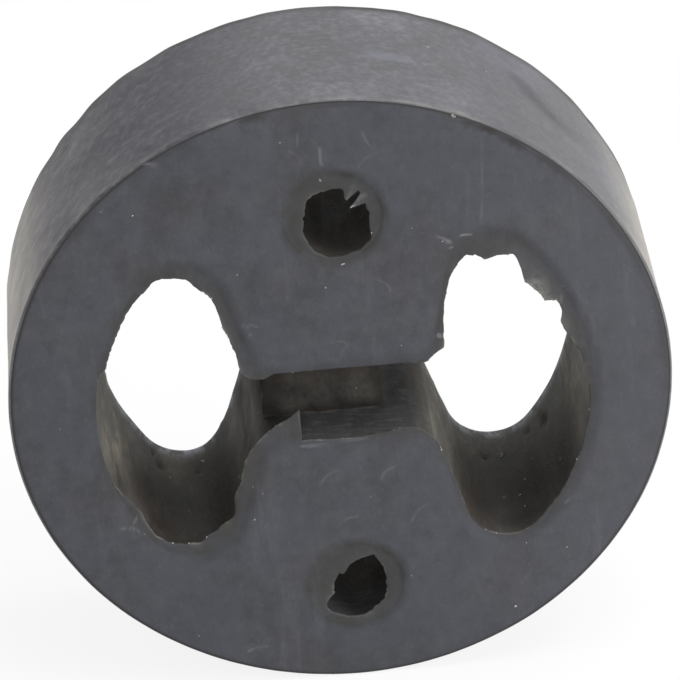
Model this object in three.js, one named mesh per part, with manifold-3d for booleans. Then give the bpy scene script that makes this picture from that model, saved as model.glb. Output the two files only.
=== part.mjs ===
// Round rubber exhaust hanger, moulded in one piece.
// Its section is drawn as seen from the front, x to the right and y up, and extruded towards the viewer.
// It is then stood up: the disc's axis lies along Y, the front face looks to -Y and the upper pin hole is on top.

import * as THREE from 'three';
import { mergeVertices } from 'three/addons/utils/BufferGeometryUtils.js';
import Module from 'manifold-3d';

// Driving dimensions, in millimetres and degrees
const discDiameter = 65;
const discThickness = 21.2;
const frontEdgeRounding = 0.35;
const rearEdgeRounding = 0.9;

// The openings sit a little off the disc's centre, as this rubber left its mould
const patternShiftRight = 0.3;
const patternShiftDown = 0.9;

// Two bosses reach towards each other, with a slot between their tips and an opening on each side of them
const slotHeight = 8.2;
const bossTipWidth = 16.5;
const bossCornerRadius = 2.2;
const openingReach = 24.4;

// Each end of a side opening has its own radius, and its boss flank leans out by its own angle
const upperRightFlankLean = 12;
const upperRightEndRadius = 4.6;
const lowerRightFlankLean = 18;
const lowerRightEndRadius = 4.6;
const lowerLeftFlankLean = 17;
const lowerLeftEndRadius = 5.2;
const upperLeftFlankLean = 18;
const upperLeftEndRadius = 4.6;

const pinHoleDiameter = 9.4;
const pinHoleSpacing = 41.6;

// Flash is the thin film that the mould left just inside the front mouth of every opening
const flashThickness = 0.45;
const flashDepth = 0.35;
const flashRoot = 0.6;

// A corner of film still stands on the lower boss's left shoulder
const flapHeight = 4.3;
const flapFromCentre = 4.5;
const flapFootWidth = 4.6;
const flapFootDrop = 2.4;
const flapBulge = 0.35;

// A thin web closes the slot's left part, some way behind the front face
const webThickness = 0.6;
const webDepth = 6;
const webRightEdge = 4;
const webLeftEdge = 8;
const webRaggedness = 0.3;

// The farthest that a facet's middle lies inside a true arc
const facetSag = 0.04;

// Film left along a mouth: bearing from the opening's middle in degrees, then the width left there
const leftOpeningFlash = [
  [28, 0], [34, 0.6], [40, 1.3], [52, 1.4], [60, 1.6], [67, 1.7], [74, 1.4], [82, 1.3], [86, 0.7], [92, 0.6],
  [97, 0.4], [101, 0.7], [110, 0.3], [122, 0.5], [131, 0.4], [142, 0.4], [152, 0.2], [163, 0.1], [175, 0.1],
  [187, 0.1], [199, 0.1], [211, 0.1], [223, 0.3], [230, 0.7], [238, 1.2], [244, 1.6], [248, 1.2], [254, 1.2],
  [259, 1.4], [269, 1.9], [272, 1.8], [276, 2.4], [283, 2.4], [288, 1.8], [291, 2.0], [293, 2.5], [297, 2.2],
  [304, 1.6], [313, 1.4], [321, 1.1], [329, 1.0], [334, 0],
];
const rightOpeningFlash = [
  [-166, 0], [-158, 0.4], [-148, 0.3], [-136, 0.4], [-128, 0.5], [-118, 0.5], [-110, 0.6], [-105, 0.3], [-102, 0.1],
  [-94, 0.2], [-86, 0.6], [-80, 1.0], [-75, 1.1], [-67, 0.6], [-56, 0.5], [-44, 0.3], [-33, 0.4], [-20, 0.3],
  [-8, 0.3], [5, 0.5], [16, 0.5], [28, 1.1], [38, 1.7], [43, 1.8], [48, 1.8], [53, 1.8], [55, 1.3], [61, 1.2],
  [66, 2.3], [74, 2.8], [79, 3.2], [82, 1.9], [84, 1.3], [92, 2.0], [95, 2.4], [98, 1.7], [101, 1.2], [106, 1.0],
  [110, 0.7], [114, 0.5], [119, 0.6], [127, 1.0], [135, 1.4], [144, 0.3], [150, 0.6], [155, 0],
];
const upperPinFlash = [
  [5, 1.4], [22, 1.4], [30, 1.3], [34, 2.8], [38, 2.9], [40, 1.5], [49, 1.3], [52, 2.3], [58, 2.5], [68, 2.2],
  [72, 1.5], [86, 1.6], [105, 1.7], [125, 1.5], [142, 1.4], [160, 1.8], [180, 1.9], [204, 1.5], [218, 1.4],
  [244, 0.8], [265, 0.7], [292, 0.9], [304, 1.1], [320, 0.9], [343, 1.3],
];
const lowerPinFlash = [
  [2, 1.8], [21, 1.7], [40, 1.4], [61, 1.1], [79, 1.6], [101, 2.2], [129, 2.5], [152, 2.6], [177, 2.6], [198, 2.4],
  [205, 1.8], [214, 1.1], [228, 0.9], [243, 1.1], [272, 1.2], [286, 1.4], [305, 1.6], [328, 1.6], [343, 1.7],
];

// Film left along the slot's lower edge: place from the slot's middle, then the height left there
const slotLipFlash = [[-4.4, 0.4], [-2, 0.2], [0.6, 0.1], [3.4, 0.4], [5.5, 0.9], [7.2, 0.7], [8.4, 0]];

const frontFace = discThickness / 2;
const rearFace = -discThickness / 2;
const slotEdge = slotHeight / 2;
const bossTipEdge = bossTipWidth / 2;
const pinHoleRise = pinHoleSpacing / 2;
const openingMiddle = (openingReach + bossTipEdge) / 2;

const degrees = THREE.MathUtils.degToRad;

const wasm = await Module();
wasm.setup();

function toSolid(geometry) {
  geometry.deleteAttribute('normal');
  geometry.deleteAttribute('uv');
  const merged = mergeVertices(geometry);
  const vertProperties = new Float32Array(merged.attributes.position.array);
  const triVerts = new Uint32Array(merged.index.array);
  return new wasm.Manifold(new wasm.Mesh({ numProp: 3, vertProperties, triVerts }));
}

function toGeometry(solid) {
  const mesh = solid.getMesh();
  const geometry = new THREE.BufferGeometry();
  geometry.setAttribute('position', new THREE.BufferAttribute(mesh.vertProperties, 3));
  geometry.setIndex(new THREE.BufferAttribute(mesh.triVerts, 1));
  geometry.computeVertexNormals();
  return geometry;
}

function pointAt(centre, distance, bearing) {
  const step = new THREE.Vector2(Math.cos(bearing), Math.sin(bearing));
  return step.multiplyScalar(distance).add(centre);
}

// Points along an arc, its last point left out when it closes on itself
function arcPoints(centre, radius, fromBearing, toBearing) {
  const sweep = toBearing - fromBearing;
  const facets = Math.ceil(Math.abs(sweep) / (2 * Math.acos(1 - facetSag / radius)));
  const closed = Math.abs(sweep) === 2 * Math.PI;
  return Array.from({ length: closed ? facets : facets + 1 }, (_, step) =>
    pointAt(centre, radius, fromBearing + (sweep * step) / facets));
}

function circlePoints(centre, radius) {
  return arcPoints(centre, radius, 0, 2 * Math.PI);
}

// A quarter of the pattern's outline for the upper right, from the slot's edge round to the outer wall's middle
function quarterOutline(flankLean, endRadius) {
  const lean = degrees(flankLean);
  const outOfBoss = new THREE.Vector2(Math.cos(lean), -Math.sin(lean));
  const alongFlank = new THREE.Vector2(Math.sin(lean), Math.cos(lean));
  const flankDistance = outOfBoss.dot(new THREE.Vector2(bossTipEdge, slotEdge));

  const cornerRise = slotEdge + bossCornerRadius;
  const cornerAcross = (flankDistance - bossCornerRadius + cornerRise * Math.sin(lean)) / Math.cos(lean);
  const cornerCentre = new THREE.Vector2(cornerAcross, cornerRise);

  const endDistance = flankDistance + endRadius;
  const endAlong = Math.sqrt((openingReach - endRadius) ** 2 - endDistance ** 2);
  const endCentre = outOfBoss.clone().multiplyScalar(endDistance).addScaledVector(alongFlank, endAlong);
  const endBearing = endCentre.angle();

  return [
    ...arcPoints(cornerCentre, bossCornerRadius, degrees(-90), -lean),
    ...arcPoints(endCentre, endRadius, degrees(180) - lean, endBearing),
    ...arcPoints(new THREE.Vector2(0, 0), openingReach, endBearing, 0).slice(1),
  ];
}

function mirrored(points, acrossX, acrossY) {
  return points.map((point) => new THREE.Vector2(point.x * acrossX, point.y * acrossY));
}

function patternOutline() {
  const upperRight = quarterOutline(upperRightFlankLean, upperRightEndRadius);
  const lowerRight = mirrored(quarterOutline(lowerRightFlankLean, lowerRightEndRadius), 1, -1);
  const lowerLeft = mirrored(quarterOutline(lowerLeftFlankLean, lowerLeftEndRadius), -1, -1);
  const upperLeft = mirrored(quarterOutline(upperLeftFlankLean, upperLeftEndRadius), -1, 1);
  const outline = [...upperRight, ...lowerRight.reverse().slice(1), ...lowerLeft, ...upperLeft.reverse().slice(1)];
  return outline.map((point) => point.add(patternCentre));
}

const patternCentre = new THREE.Vector2(patternShiftRight, -patternShiftDown);
const leftMiddle = new THREE.Vector2(-openingMiddle, 0).add(patternCentre);
const rightMiddle = new THREE.Vector2(openingMiddle, 0).add(patternCentre);
const upperPinCentre = new THREE.Vector2(0, pinHoleRise).add(patternCentre);
const lowerPinCentre = new THREE.Vector2(0, -pinHoleRise).add(patternCentre);

const openings = patternOutline();
const upperPinHole = circlePoints(upperPinCentre, pinHoleDiameter / 2);
const lowerPinHole = circlePoints(lowerPinCentre, pinHoleDiameter / 2);

// The disc's section with its holes, extruded with rounded edges on both faces
function roundedDisc(rounding, roundingSteps, rear, front) {
  const section = new THREE.Shape(circlePoints(new THREE.Vector2(0, 0), discDiameter / 2));
  section.holes = [openings, upperPinHole, lowerPinHole].map((points) => new THREE.Path(points));
  const geometry = new THREE.ExtrudeGeometry(section, {
    depth: front - rear - 2 * rounding,
    bevelThickness: rounding,
    bevelSize: rounding,
    bevelOffset: -rounding,
    bevelSegments: roundingSteps,
  });
  geometry.translate(0, 0, rear + rounding);
  return toSolid(geometry);
}

// The front edges are crisper than the rear ones, so each rounding runs off the other end of the disc
function discBody() {
  const overrun = discThickness;
  const crispFront = roundedDisc(frontEdgeRounding, 2, rearFace - overrun, frontFace);
  const softRear = roundedDisc(rearEdgeRounding, 3, rearFace, frontFace + overrun);
  return crispFront.intersect(softRear);
}

function distanceToWall(outline, centre, bearing) {
  const ray = pointAt(new THREE.Vector2(0, 0), 1, bearing);
  const crossings = outline.map((start, index) => {
    const edge = outline[(index + 1) % outline.length].clone().sub(start);
    const toStart = start.clone().sub(centre);
    const distance = toStart.cross(edge) / ray.cross(edge);
    const share = toStart.cross(ray) / ray.cross(edge);
    return distance > 0 && share >= 0 && share <= 1 ? distance : Infinity;
  });
  return Math.min(...crossings);
}

// The film's torn edge, or its root inside the rubber when the root's depth is given
function flashEdge(outline, centre, tears, root) {
  return tears.map(([bearing, width]) => {
    const wall = distanceToWall(outline, centre, degrees(bearing));
    return pointAt(centre, root ? wall + root : wall - width, degrees(bearing));
  });
}

function sheet(shape, thickness, depth) {
  const geometry = new THREE.ExtrudeGeometry(shape, { depth: thickness, bevelEnabled: false });
  geometry.translate(0, 0, frontFace - depth - thickness);
  return toSolid(geometry);
}

function flashSheet(shape) {
  return sheet(shape, flashThickness, flashDepth);
}

function openingFlash(centre, tears) {
  const torn = flashEdge(openings, centre, tears, 0);
  const root = flashEdge(openings, centre, tears, flashRoot);
  return flashSheet(new THREE.Shape([...torn, ...root.reverse()]));
}

function pinHoleFlash(outline, centre, tears) {
  const ring = new THREE.Shape(flashEdge(outline, centre, tears, flashRoot));
  ring.holes = [new THREE.Path(flashEdge(outline, centre, tears, 0))];
  return flashSheet(ring);
}

function slotLip() {
  const floor = patternCentre.y - slotEdge;
  const [first] = slotLipFlash;
  const last = slotLipFlash[slotLipFlash.length - 1];
  const torn = slotLipFlash.map(([along, height]) => new THREE.Vector2(patternCentre.x + along, floor + height));
  const root = [last, first].map(([along]) => new THREE.Vector2(patternCentre.x + along, floor - bossCornerRadius));
  return flashSheet(new THREE.Shape([...torn, ...root]));
}

// The flap's right edge is straight, and its left edge bows down to the boss's flank
function flap() {
  const floor = patternCentre.y - slotEdge;
  const rightEdge = patternCentre.x - flapFromCentre;
  const footLeft = rightEdge - flapFootWidth;
  const footBottom = floor - flapFootDrop;
  const tip = floor + flapHeight;
  const shape = new THREE.Shape();
  shape.moveTo(rightEdge, footBottom);
  shape.lineTo(rightEdge, tip);
  const bendX = THREE.MathUtils.lerp(rightEdge, footLeft, 1 - flapBulge);
  const bendY = THREE.MathUtils.lerp(footBottom, tip, 1 - flapBulge);
  shape.quadraticCurveTo(bendX, bendY, footLeft, footBottom);
  shape.closePath();
  return flashSheet(shape);
}

function slotWeb() {
  const floor = patternCentre.y - slotEdge - flashRoot;
  const roof = patternCentre.y + slotEdge + flashRoot;
  const right = patternCentre.x + webRightEdge;
  const left = patternCentre.x - webLeftEdge;
  const shape = new THREE.Shape([
    new THREE.Vector2(left, floor),
    new THREE.Vector2(right, floor),
    new THREE.Vector2(right - webRaggedness, patternCentre.y - slotEdge / 2),
    new THREE.Vector2(right, patternCentre.y),
    new THREE.Vector2(right, roof),
    new THREE.Vector2(left - webRaggedness, roof),
    new THREE.Vector2(left + webRaggedness, patternCentre.y),
  ]);
  return sheet(shape, webThickness, webDepth);
}

const hangerSolid = [
  openingFlash(leftMiddle, leftOpeningFlash),
  openingFlash(rightMiddle, rightOpeningFlash),
  pinHoleFlash(upperPinHole, upperPinCentre, upperPinFlash),
  pinHoleFlash(lowerPinHole, lowerPinCentre, lowerPinFlash),
  slotLip(),
  flap(),
  slotWeb(),
].reduce((body, film) => body.add(film), discBody());

const rubber = new THREE.MeshStandardMaterial({ color: 0x3b3b3f, roughness: 0.72, metalness: 0 });

const hangerRubber = new THREE.Mesh(toGeometry(hangerSolid), rubber);
hangerRubber.name = 'hanger_rubber';
hangerRubber.rotation.x = Math.PI / 2;
hangerRubber.position.set(-upperPinCentre.x, 0, -upperPinCentre.y);

const hanger = new THREE.Group();
hanger.add(hangerRubber);

export default hanger;
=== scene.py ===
# Round rubber exhaust hanger: one moulded disc with its torn flash, wear, dust and marks, on a pale floor.

import math
from types import SimpleNamespace

import bpy
import numpy as np
from mathutils import Matrix, Vector, noise
from mathutils.bvhtree import BVHTree
from mathutils.geometry import delaunay_2d_cdt


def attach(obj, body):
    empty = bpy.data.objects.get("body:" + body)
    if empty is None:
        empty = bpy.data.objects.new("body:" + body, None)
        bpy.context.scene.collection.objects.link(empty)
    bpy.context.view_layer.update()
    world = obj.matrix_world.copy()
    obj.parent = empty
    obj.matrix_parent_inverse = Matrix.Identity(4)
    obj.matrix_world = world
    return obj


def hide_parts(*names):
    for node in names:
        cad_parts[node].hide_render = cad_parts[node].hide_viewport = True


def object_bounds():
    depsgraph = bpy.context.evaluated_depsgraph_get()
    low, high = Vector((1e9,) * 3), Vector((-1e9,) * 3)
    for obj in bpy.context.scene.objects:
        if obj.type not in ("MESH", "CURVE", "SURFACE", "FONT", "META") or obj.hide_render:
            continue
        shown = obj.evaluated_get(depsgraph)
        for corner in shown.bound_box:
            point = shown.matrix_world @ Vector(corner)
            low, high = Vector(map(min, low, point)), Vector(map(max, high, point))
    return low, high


bl_info = {
    "name": "Rubber Exhaust Hanger",
    "version": (1, 0, 0),
    "blender": (4, 5, 0),
    "location": "View3D > Sidebar > Hanger",
    "description": "Builds a worn round exhaust hanger rubber with torn moulding flash, "
                   "and a pale stage for it",
    "category": "Object",
}

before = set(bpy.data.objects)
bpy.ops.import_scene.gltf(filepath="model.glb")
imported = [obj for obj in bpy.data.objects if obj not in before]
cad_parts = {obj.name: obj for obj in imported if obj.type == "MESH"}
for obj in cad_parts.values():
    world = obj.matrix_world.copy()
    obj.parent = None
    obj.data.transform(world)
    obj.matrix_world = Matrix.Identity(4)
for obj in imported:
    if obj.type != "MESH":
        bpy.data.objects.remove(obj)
cad_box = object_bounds()

MM = 0.001
RUBBER_NODE = "hanger_rubber"
FACE, RIM, WALL = range(3)
SIDES = {"left": -1, "right": 1}
CREASE_DEGREES = 58

# How closely the outlines, walls and faces are laid with points; lengths up to the stage are in millimetres
ARC_STEP = 0.05
RIM_STEP = 0.33
OPENINGS_STEP = 0.3
PIN_STEP = 0.2
RIM_ROW_STEP = 0.52
OPENINGS_ROW_STEP = 0.7
PIN_ROW_STEP = 1.2
FRONT_STEP = 0.55
REAR_STEP = 0.8
SCUFF_STEP = 0.13
SCUFF_BESIDE = (-0.2, -0.07, 0.07, 0.2)
WEB_COLUMNS = 44
WEB_ROWS = 34

# The recessed cove inside a mouth, how much painted shade lies in the mouths, and how pale their torn edges
# are
OPENINGS_COVE = (0.8, 0.22)
PIN_COVE = (0.6, 0.08)
OPENINGS_COVE_SHADE = 0.62
PIN_COVE_SHADE = 1.25
OPENINGS_PALENESS = 1.0
PIN_PALENESS = 0.4

# The film lies lower down the line of sight than the face, and is never narrower than the last trace of it
FILM_DROP = 0.26
LEAST_FILM = 0.04
FLAP_HEEL = 0.35
ROOT_DEPTHS = (1.15, 1.6)

# Sizes of the tears, of the waves that are pressed into the rubber, and of the web's own unevenness
COARSE_TEARS = 0.9
FINE_TEARS = 0.33
BROAD_WAVES = 7
CLOSE_WAVES = 1.4
CLOSE_SHARE = 0.3
REAR_WOBBLE = 0.17
REAR_WOBBLE_SIZE = 3.4
WALL_RIBS = (0.8, 0.8, 9)
WEB_SINK = 0.6
WEB_UNEVENNESS = 0.35

# How far the marks spread: half a scuff's width, the smear's, and the depth of a chipped place
SCUFF_WIDTH = 0.1
SMEAR_WIDTH = 1.3
CHIP_DEPTH = 0.45

# The dark line along the rim's rear edge starts at one depth on the right and another further left
REAR_LINE_BEARINGS = (30, 60)
REAR_LINE_DEPTHS = (19.2, 19.5)
REAR_LINE_FADE = 0.5
LOWER_LINE_SHARE = 0.4

# The painted highlight along the openings' rear edges: where it starts, and how far it takes to its full
# strength
REAR_HIGHLIGHT_START = 18.6
REAR_HIGHLIGHT_REACH = 1.8

# How strong the painted shade of a mouth, the web's dirt, the pin holes' dirt and the painted shade in them
# are
MOUTH_SHADE = 0.85
WEB_RUST = 0.55
PIN_RUST = 0.7
PIN_HOLE_SHADE = 0.12

# Where parts of the surface lie: the walls from an opening's middle, round a pin hole, the web's left end
WALL_AWAY = 16
SIDE_STARTS = 4
IN_PIN_HOLE = 5.4
ROUND_PIN_HOLE = 6
WEB_LEFT_END = 8.2

# Film left along a mouth: bearing from the opening's middle in degrees, then the width left there
LEFT_OPENING_FILM = (
    (16, 0), (20, 0.4), (28, 1.1), (34, 1.25), (40, 1.6), (46, 1.5), (52, 1.35), (60, 1.45), (67, 1.8),
    (74, 1.65), (82, 1.65), (86, 1.1), (92, 0.95), (97, 0.7), (101, 1.0), (110, 0.65), (122, 0.75),
    (131, 0.6), (141, 0.55), (145, 0.05), (152, 0), (163, 0), (200, 0.05), (211, 0.1), (223, 0.3),
    (230, 0.7), (238, 1.2), (244, 1.6), (248, 1.2), (254, 1.2), (259, 1.4), (269, 1.9), (272, 1.8),
    (276, 2.4), (283, 2.4), (288, 1.8), (291, 2.0), (293, 2.5), (297, 2.2), (304, 1.6), (313, 1.4),
    (334, 0),
)
RIGHT_OPENING_FILM = (
    (-166, 0), (-158, 0.4), (-148, 0.3), (-136, 0.4), (-128, 0.5), (-118, 0.5), (-110, 0.6), (-105, 0.3),
    (-102, 0.1), (-94, 0.1), (-86, 0.3), (-80, 0.6), (-75, 0.8), (-67, 0.5), (-56, 0.5), (-44, 0.3),
    (-33, 0.4), (-20, 0.3), (-8, 0.3), (5, 0.5), (16, 0.5), (28, 0.9), (38, 1.4), (43, 1.7), (48, 1.9),
    (53, 1.9), (55, 1.35), (61, 1.25), (66, 2.45), (74, 2.95), (79, 3.4), (82, 2.2), (84, 1.65), (89, 2.15),
    (95, 2.5), (98, 1.75), (101, 1.25), (106, 1.35), (110, 1.2), (114, 1.0), (119, 1.0), (127, 1.4),
    (131, 1.65), (135, 1.65), (140, 1.0), (144, 0.65), (150, 0.65), (156, 0.05), (160, 0),
)
UPPER_PIN_FILM = (
    (5, 1.3), (18, 1.3), (25, 1.35), (29, 2.4), (37, 2.65), (40.5, 2.5), (42.5, 0.9), (49.5, 0.9),
    (51.5, 2.0), (58, 2.25), (64, 2.1), (70, 1.45), (76, 1.35), (86, 1.45), (105, 1.6), (125, 1.4),
    (142, 1.5), (160, 1.8), (180, 1.85), (204, 1.5), (218, 1.3), (244, 0.75), (265, 0.6), (290, 0.65),
    (304, 0.5), (320, 0.45), (332, 0.7), (343, 1.2),
)
LOWER_PIN_FILM = (
    (2, 1.75), (21, 1.6), (40, 1.3), (61, 0.9), (70, 1.15), (79, 1.5), (101, 2.1), (118, 2.6), (129, 2.75),
    (136, 2.4), (152, 2.4), (177, 2.45), (196, 2.3), (202, 1.8), (212, 0.95), (228, 0.75), (243, 1.0),
    (272, 1.05), (286, 1.3), (305, 1.5), (328, 1.5), (343, 1.65),
)

# Film left along the slot's lower edge: place from the slot's middle, then the height left there
SLOT_LIP_FILM = ((-4.4, 0.4), (-2, 0.2), (0.6, 0.1), (3.4, 0.4), (5.5, 0.9), (7.2, 0.7), (8.4, 0))

# The torn edge of the flap on the lower boss's left shoulder, from its foot on the flank up to its tip
FLAP_EDGE = (
    (-10.5, -8.4), (-9.9, -6.2), (-9.3, -5.1), (-8.1, -3.7), (-6.7, -2.5), (-5.2, -1.7), (-4.2, -0.8),
)

# How far an opening's wall draws in by the rear: bearing from the opening's middle, then the distance
LEFT_REAR_DRAFT = (
    (90, 0.26), (180, 0.26), (216, 0.24), (223, 0.05), (234, 0.08), (246, 0.23), (270, 0.26), (276, 0.45),
    (282, 0.85), (288, 1.1), (294, 0.85), (306, 0.75), (322, 0.7), (345, 0.6), (375, 0.3),
)
RIGHT_REAR_DRAFT = (
    (90, 0.0), (165, -0.2), (180, -0.35), (215, -0.35), (234, -0.22), (246, -0.16), (254, -0.02),
    (272, 0.0), (288, -0.15), (300, -0.22), (318, -0.14), (340, -0.2), (360, -0.25), (390, -0.2),
)

# How far torn tabs lift out of the film: opening, middle bearing, half its spread, lift towards the viewer
LIFTED_TABS = (
    ("upper pin", 38, 5, 0.5), ("upper pin", 58, 5, 0.35), ("right", 75, 12, 0.35), ("right", 46, 9, 0.3),
    ("right", 94, 5, 0.2), ("left", 294, 5, -0.2), ("left", 280, 8, -0.15), ("left", 60, 20, 0.15),
    ("lower pin", 150, 22, 0.2), ("lower pin", 190, 12, 0.15),
)

# Film that is frayed and pale over its whole width: opening, middle bearing, half its spread, how pale
FRAYED_FILM = (
    ("upper pin", 37, 7, 1.9), ("upper pin", 58, 6, 1.9), ("right", 72, 10, 0.9), ("right", 50, 8, 0.3),
    ("left", 62, 12, 0.18), ("lower pin", 200, 9, 0.3), ("lower pin", 285, 20, 0.25),
    ("left", 246, 4, 0.35),
)

# Profile of a mouth from the face down to the film's root: share of the cove's width, share of its depth
MOUTH_COVE = ((1.55, 0.0), (1.3, 0.03), (1.05, 0.12), (0.8, 0.3), (0.55, 0.56), (0.3, 0.83), (0.1, 0.97))

# Profile of the film: share of its width, depth below the face, how torn and pale it is there
FILM_PROFILE = (
    (0.0, 0.0, 0.0), (0.3, 0.01, 0.0), (0.6, 0.02, 0.0), (0.84, 0.04, 0.1), (0.95, 0.07, 0.65),
    (1.0, 0.13, 1.0), (0.98, 0.2, 0.8), (0.85, 0.28, 0.2), (0.55, 0.37, 0.0), (0.25, 0.43, 0.0),
    (0.0, 0.51, 0.0),
)

# Profile of the rim's crisp front edge, where the mould's halves met: step out, depth, then how much painted
# highlight lies there, or below nought how much painted shade
RIM_FRONT = (
    (-0.62, 0.0, 0), (-0.42, 0.02, -0.35), (-0.3, 0.06, -1), (-0.2, 0.08, -0.8), (-0.1, 0.15, 0.4),
    (-0.03, 0.26, 1), (0.03, 0.38, 0.8), (0.02, 0.55, 0.3), (0.0, 0.85, 0),
)

# Profile of every rear edge: share of the rear rounding stepped in, share of it left before the rear face
REAR_EDGE = ((0.0, 1.0), (0.03, 0.72), (0.13, 0.46), (0.3, 0.25), (0.54, 0.09), (1.0, 0.0))

# Marks on the flat face: place, radius, and how deep the dent or how high the lump
FACE_DENTS = (
    (10.6, -16.8, 0.8, 0.12), (-17.6, 15.4, 1.2, 0.05), (-9.1, 8.5, 0.5, 0.04), (0.9, 14.8, 0.25, -0.05),
    (12.5, -16.6, 0.5, 0.05), (-6.2, -25.5, 0.8, 0.05), (18.5, 20.5, 1.0, 0.05), (20.5, -17.5, 0.9, 0.06),
)

# Light scuffs on the face: their ends, how far they bow, and how strong they are
FACE_SCUFFS = (
    ((14.8, 26.3), (14.3, 17.0), 0.1, 0.16), ((-0.6, 27.4), (-0.6, 25.7), 0.0, 0.4),
    ((-2.6, 29.0), (-2.7, 28.0), 0, 0.3), ((-9.4, 9.0), (-8.6, 7.6), 0.5, 0.4),
    ((-8.8, 8.9), (-8.0, 8.7), 0.2, 0.3), ((-0.5, 6.2), (0.9, 5.4), 0.5, 0.3),
    ((0.1, 4.6), (1.2, 5.8), 0.3, 0.25), ((-11.0, -28.6), (-9.2, -28.2), 0.2, 0.5),
    ((10.2, 16.9), (11.4, 15.6), 0.3, 0.5), ((12.4, 16.9), (13.4, 16.8), 0.0, 0.6),
    ((-18.2, 27.3), (-16.4, 27.2), 0.1, 0.9), ((-2.4, -9.3), (-0.9, -8.2), 0.2, 0.22),
    ((3.4, -9.6), (4.6, -8.4), 0.2, 0.2), ((6.2, -14.8), (7.9, -13.0), 0.3, 0.2),
    ((-13.0, 4.0), (-12.4, 1.8), 0.2, 0.3), ((-22.6, -12.9), (-20.8, -13.6), 0.3, 0.3),
    ((-21.4, -12.6), (-20.9, -11.9), 0.1, 0.25), ((21.6, -14.2), (22.6, -13.5), 0.1, 0.4),
    ((-1.2, -14.7), (0.6, -13.8), 0.3, 0.3), ((20.5, 9.2), (22.2, 8.6), 0.3, 0.3),
    ((4.4, 12.6), (5.3, 10.9), 0.4, 0.2), ((-4.3, -5.2), (-1.8, -5.15), 0.0, 0.45),
    ((-3.9, -5.4), (-2.4, -5.35), 0.0, 0.3), ((-0.6, -5.1), (2.2, -5.0), 0.0, 0.2),
    ((-3.5, 27.4), (-2.5, 26.2), 0.2, 0.25), ((3.0, 25.2), (5.2, 26.6), 0.3, 0.22),
    ((4.4, 27.0), (3.6, 28.6), 0.1, 0.2),
)

# Marks on the rim: bearing from the disc's centre in degrees, depth, radius, dent depth
RIM_DENTS = (
    (73.3, 10.3, 0.34, 0.4), (139.2, 16.4, 0.6, 0.1), (83.3, 12.9, 0.3, -0.05), (104.4, 0.4, 0.9, 0.32),
    (102.0, 0.3, 0.7, 0.25), (67.0, 0.4, 0.35, -0.12), (64.0, 0.4, 0.7, 0.2), (60.5, 0.35, 0.9, 0.16),
    (33.7, 19.8, 0.6, 0.15),
)

# The dark smear that runs across the rim's upper right: bearing and depth of its points, then how strong
RIM_SMEAR = (
    (57.5, 19.8, 0.3), (55.2, 16.9, 0.45), (53.3, 15.0, 0.65), (51.2, 13.2, 0.9), (48.9, 11.8, 1.0),
    (46.5, 10.7, 0.95), (42.9, 10.3, 0.6), (39.8, 10.7, 0.35), (34.5, 12.4, 0.1),
)

# Dark chipped places of the front edge: bearing, half its spread in degrees, how dark
EDGE_CHIPS = (
    (102.6, 2.0, 1.0), (64.5, 1.5, 0.9), (61, 2.5, 1.0), (56, 3.5, 0.8), (47, 7, 0.6), (88, 7, 0.35),
    (118, 4, 0.35), (30, 12, 0.5), (8, 12, 0.4), (140, 8, 0.25),
)

# Pale bluish bloom on the rim: bearing, depth, their spreads, then how strong
RIM_BLOOM = ((77.5, 9.7, 4.0, 0.8, 0.6), (52, 17.4, 8, 2.6, 0.5), (31, 9, 4, 4, 0.25), (70, 4, 10, 2, 0.12))

# Pits in the openings' walls: opening, bearing from its middle, depth, radius, pit depth
WALL_PITS = (
    ("left", 258.4, 16.6, 0.5, 0.45), ("left", 255.6, 18.1, 0.4, 0.3), ("left", 272.5, 16.2, 0.3, 0.3),
    ("right", 266.5, 15.6, 0.45, 0.45), ("right", 289.4, 17.3, 0.4, 0.3), ("right", 291.7, 15.9, 0.6, 0.5),
    ("right", 283.4, 17.6, 0.4, 0.3), ("right", 292.6, 14.9, 0.4, 0.3),
)

# Tan soil, painted shade and reddish brown dirt on the walls: opening, bearing, depth, spreads, strength
WALL_SOIL = (
    ("left", 222, 12, 20, 9, 1.0), ("left", 240, 13, 7, 5, 0.8), ("left", 298, 16, 8, 9, 0.35),
    ("left", 262, 16.8, 5, 3, 0.4), ("left", 294, 12.5, 4, 5, 0.4), ("left", 314, 15, 7, 10, 0.3),
    ("right", 238, 14, 18, 12, 1.0), ("right", 219, 12, 7, 12, 1.0), ("right", 326, 12, 14, 9, 0.85),
    ("right", 342, 10, 14, 10, 0.95),
)
WALL_SHADE = (
    ("left", 352, 11, 20, 12, 0.75), ("left", 281, 9, 7.5, 12, 1.0), ("left", 256, 3, 9, 4, 0.5),
    ("left", 304, 4, 9, 5, 0.85), ("left", 232, 4, 8, 3.5, 0.8), ("left", 308, 12, 9, 9, 0.95),
    ("left", 252, 18, 4, 2, 0.4), ("left", 274, 17.6, 6, 1.2, 0.45), ("left", 334, 12, 8, 14, 1.0),
    ("right", 299, 5, 13, 8, 1.0), ("right", 280, 6, 15, 9, 0.8), ("right", 262, 5, 9, 6, 0.8),
    ("right", 277, 3, 16, 3, 0.9), ("left", 272, 4, 16, 6, 0.3), ("right", 291, 16, 2, 2.2, 0.9),
)
WALL_RUST = (
    ("left", 248, 8, 7, 5, 0.9), ("left", 257, 4.5, 8, 4, 1.0), ("left", 268, 2, 12, 2.5, 0.8),
    ("left", 306, 13, 7, 8, 0.8), ("right", 254, 4, 6, 6, 0.9), ("right", 264, 1.5, 10, 2, 0.45),
    ("right", 212, 12, 6, 8, 0.5), ("right", 292, 2, 8, 2, 0.45), ("right", 225, 17, 5, 5, 0.3),
)

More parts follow.
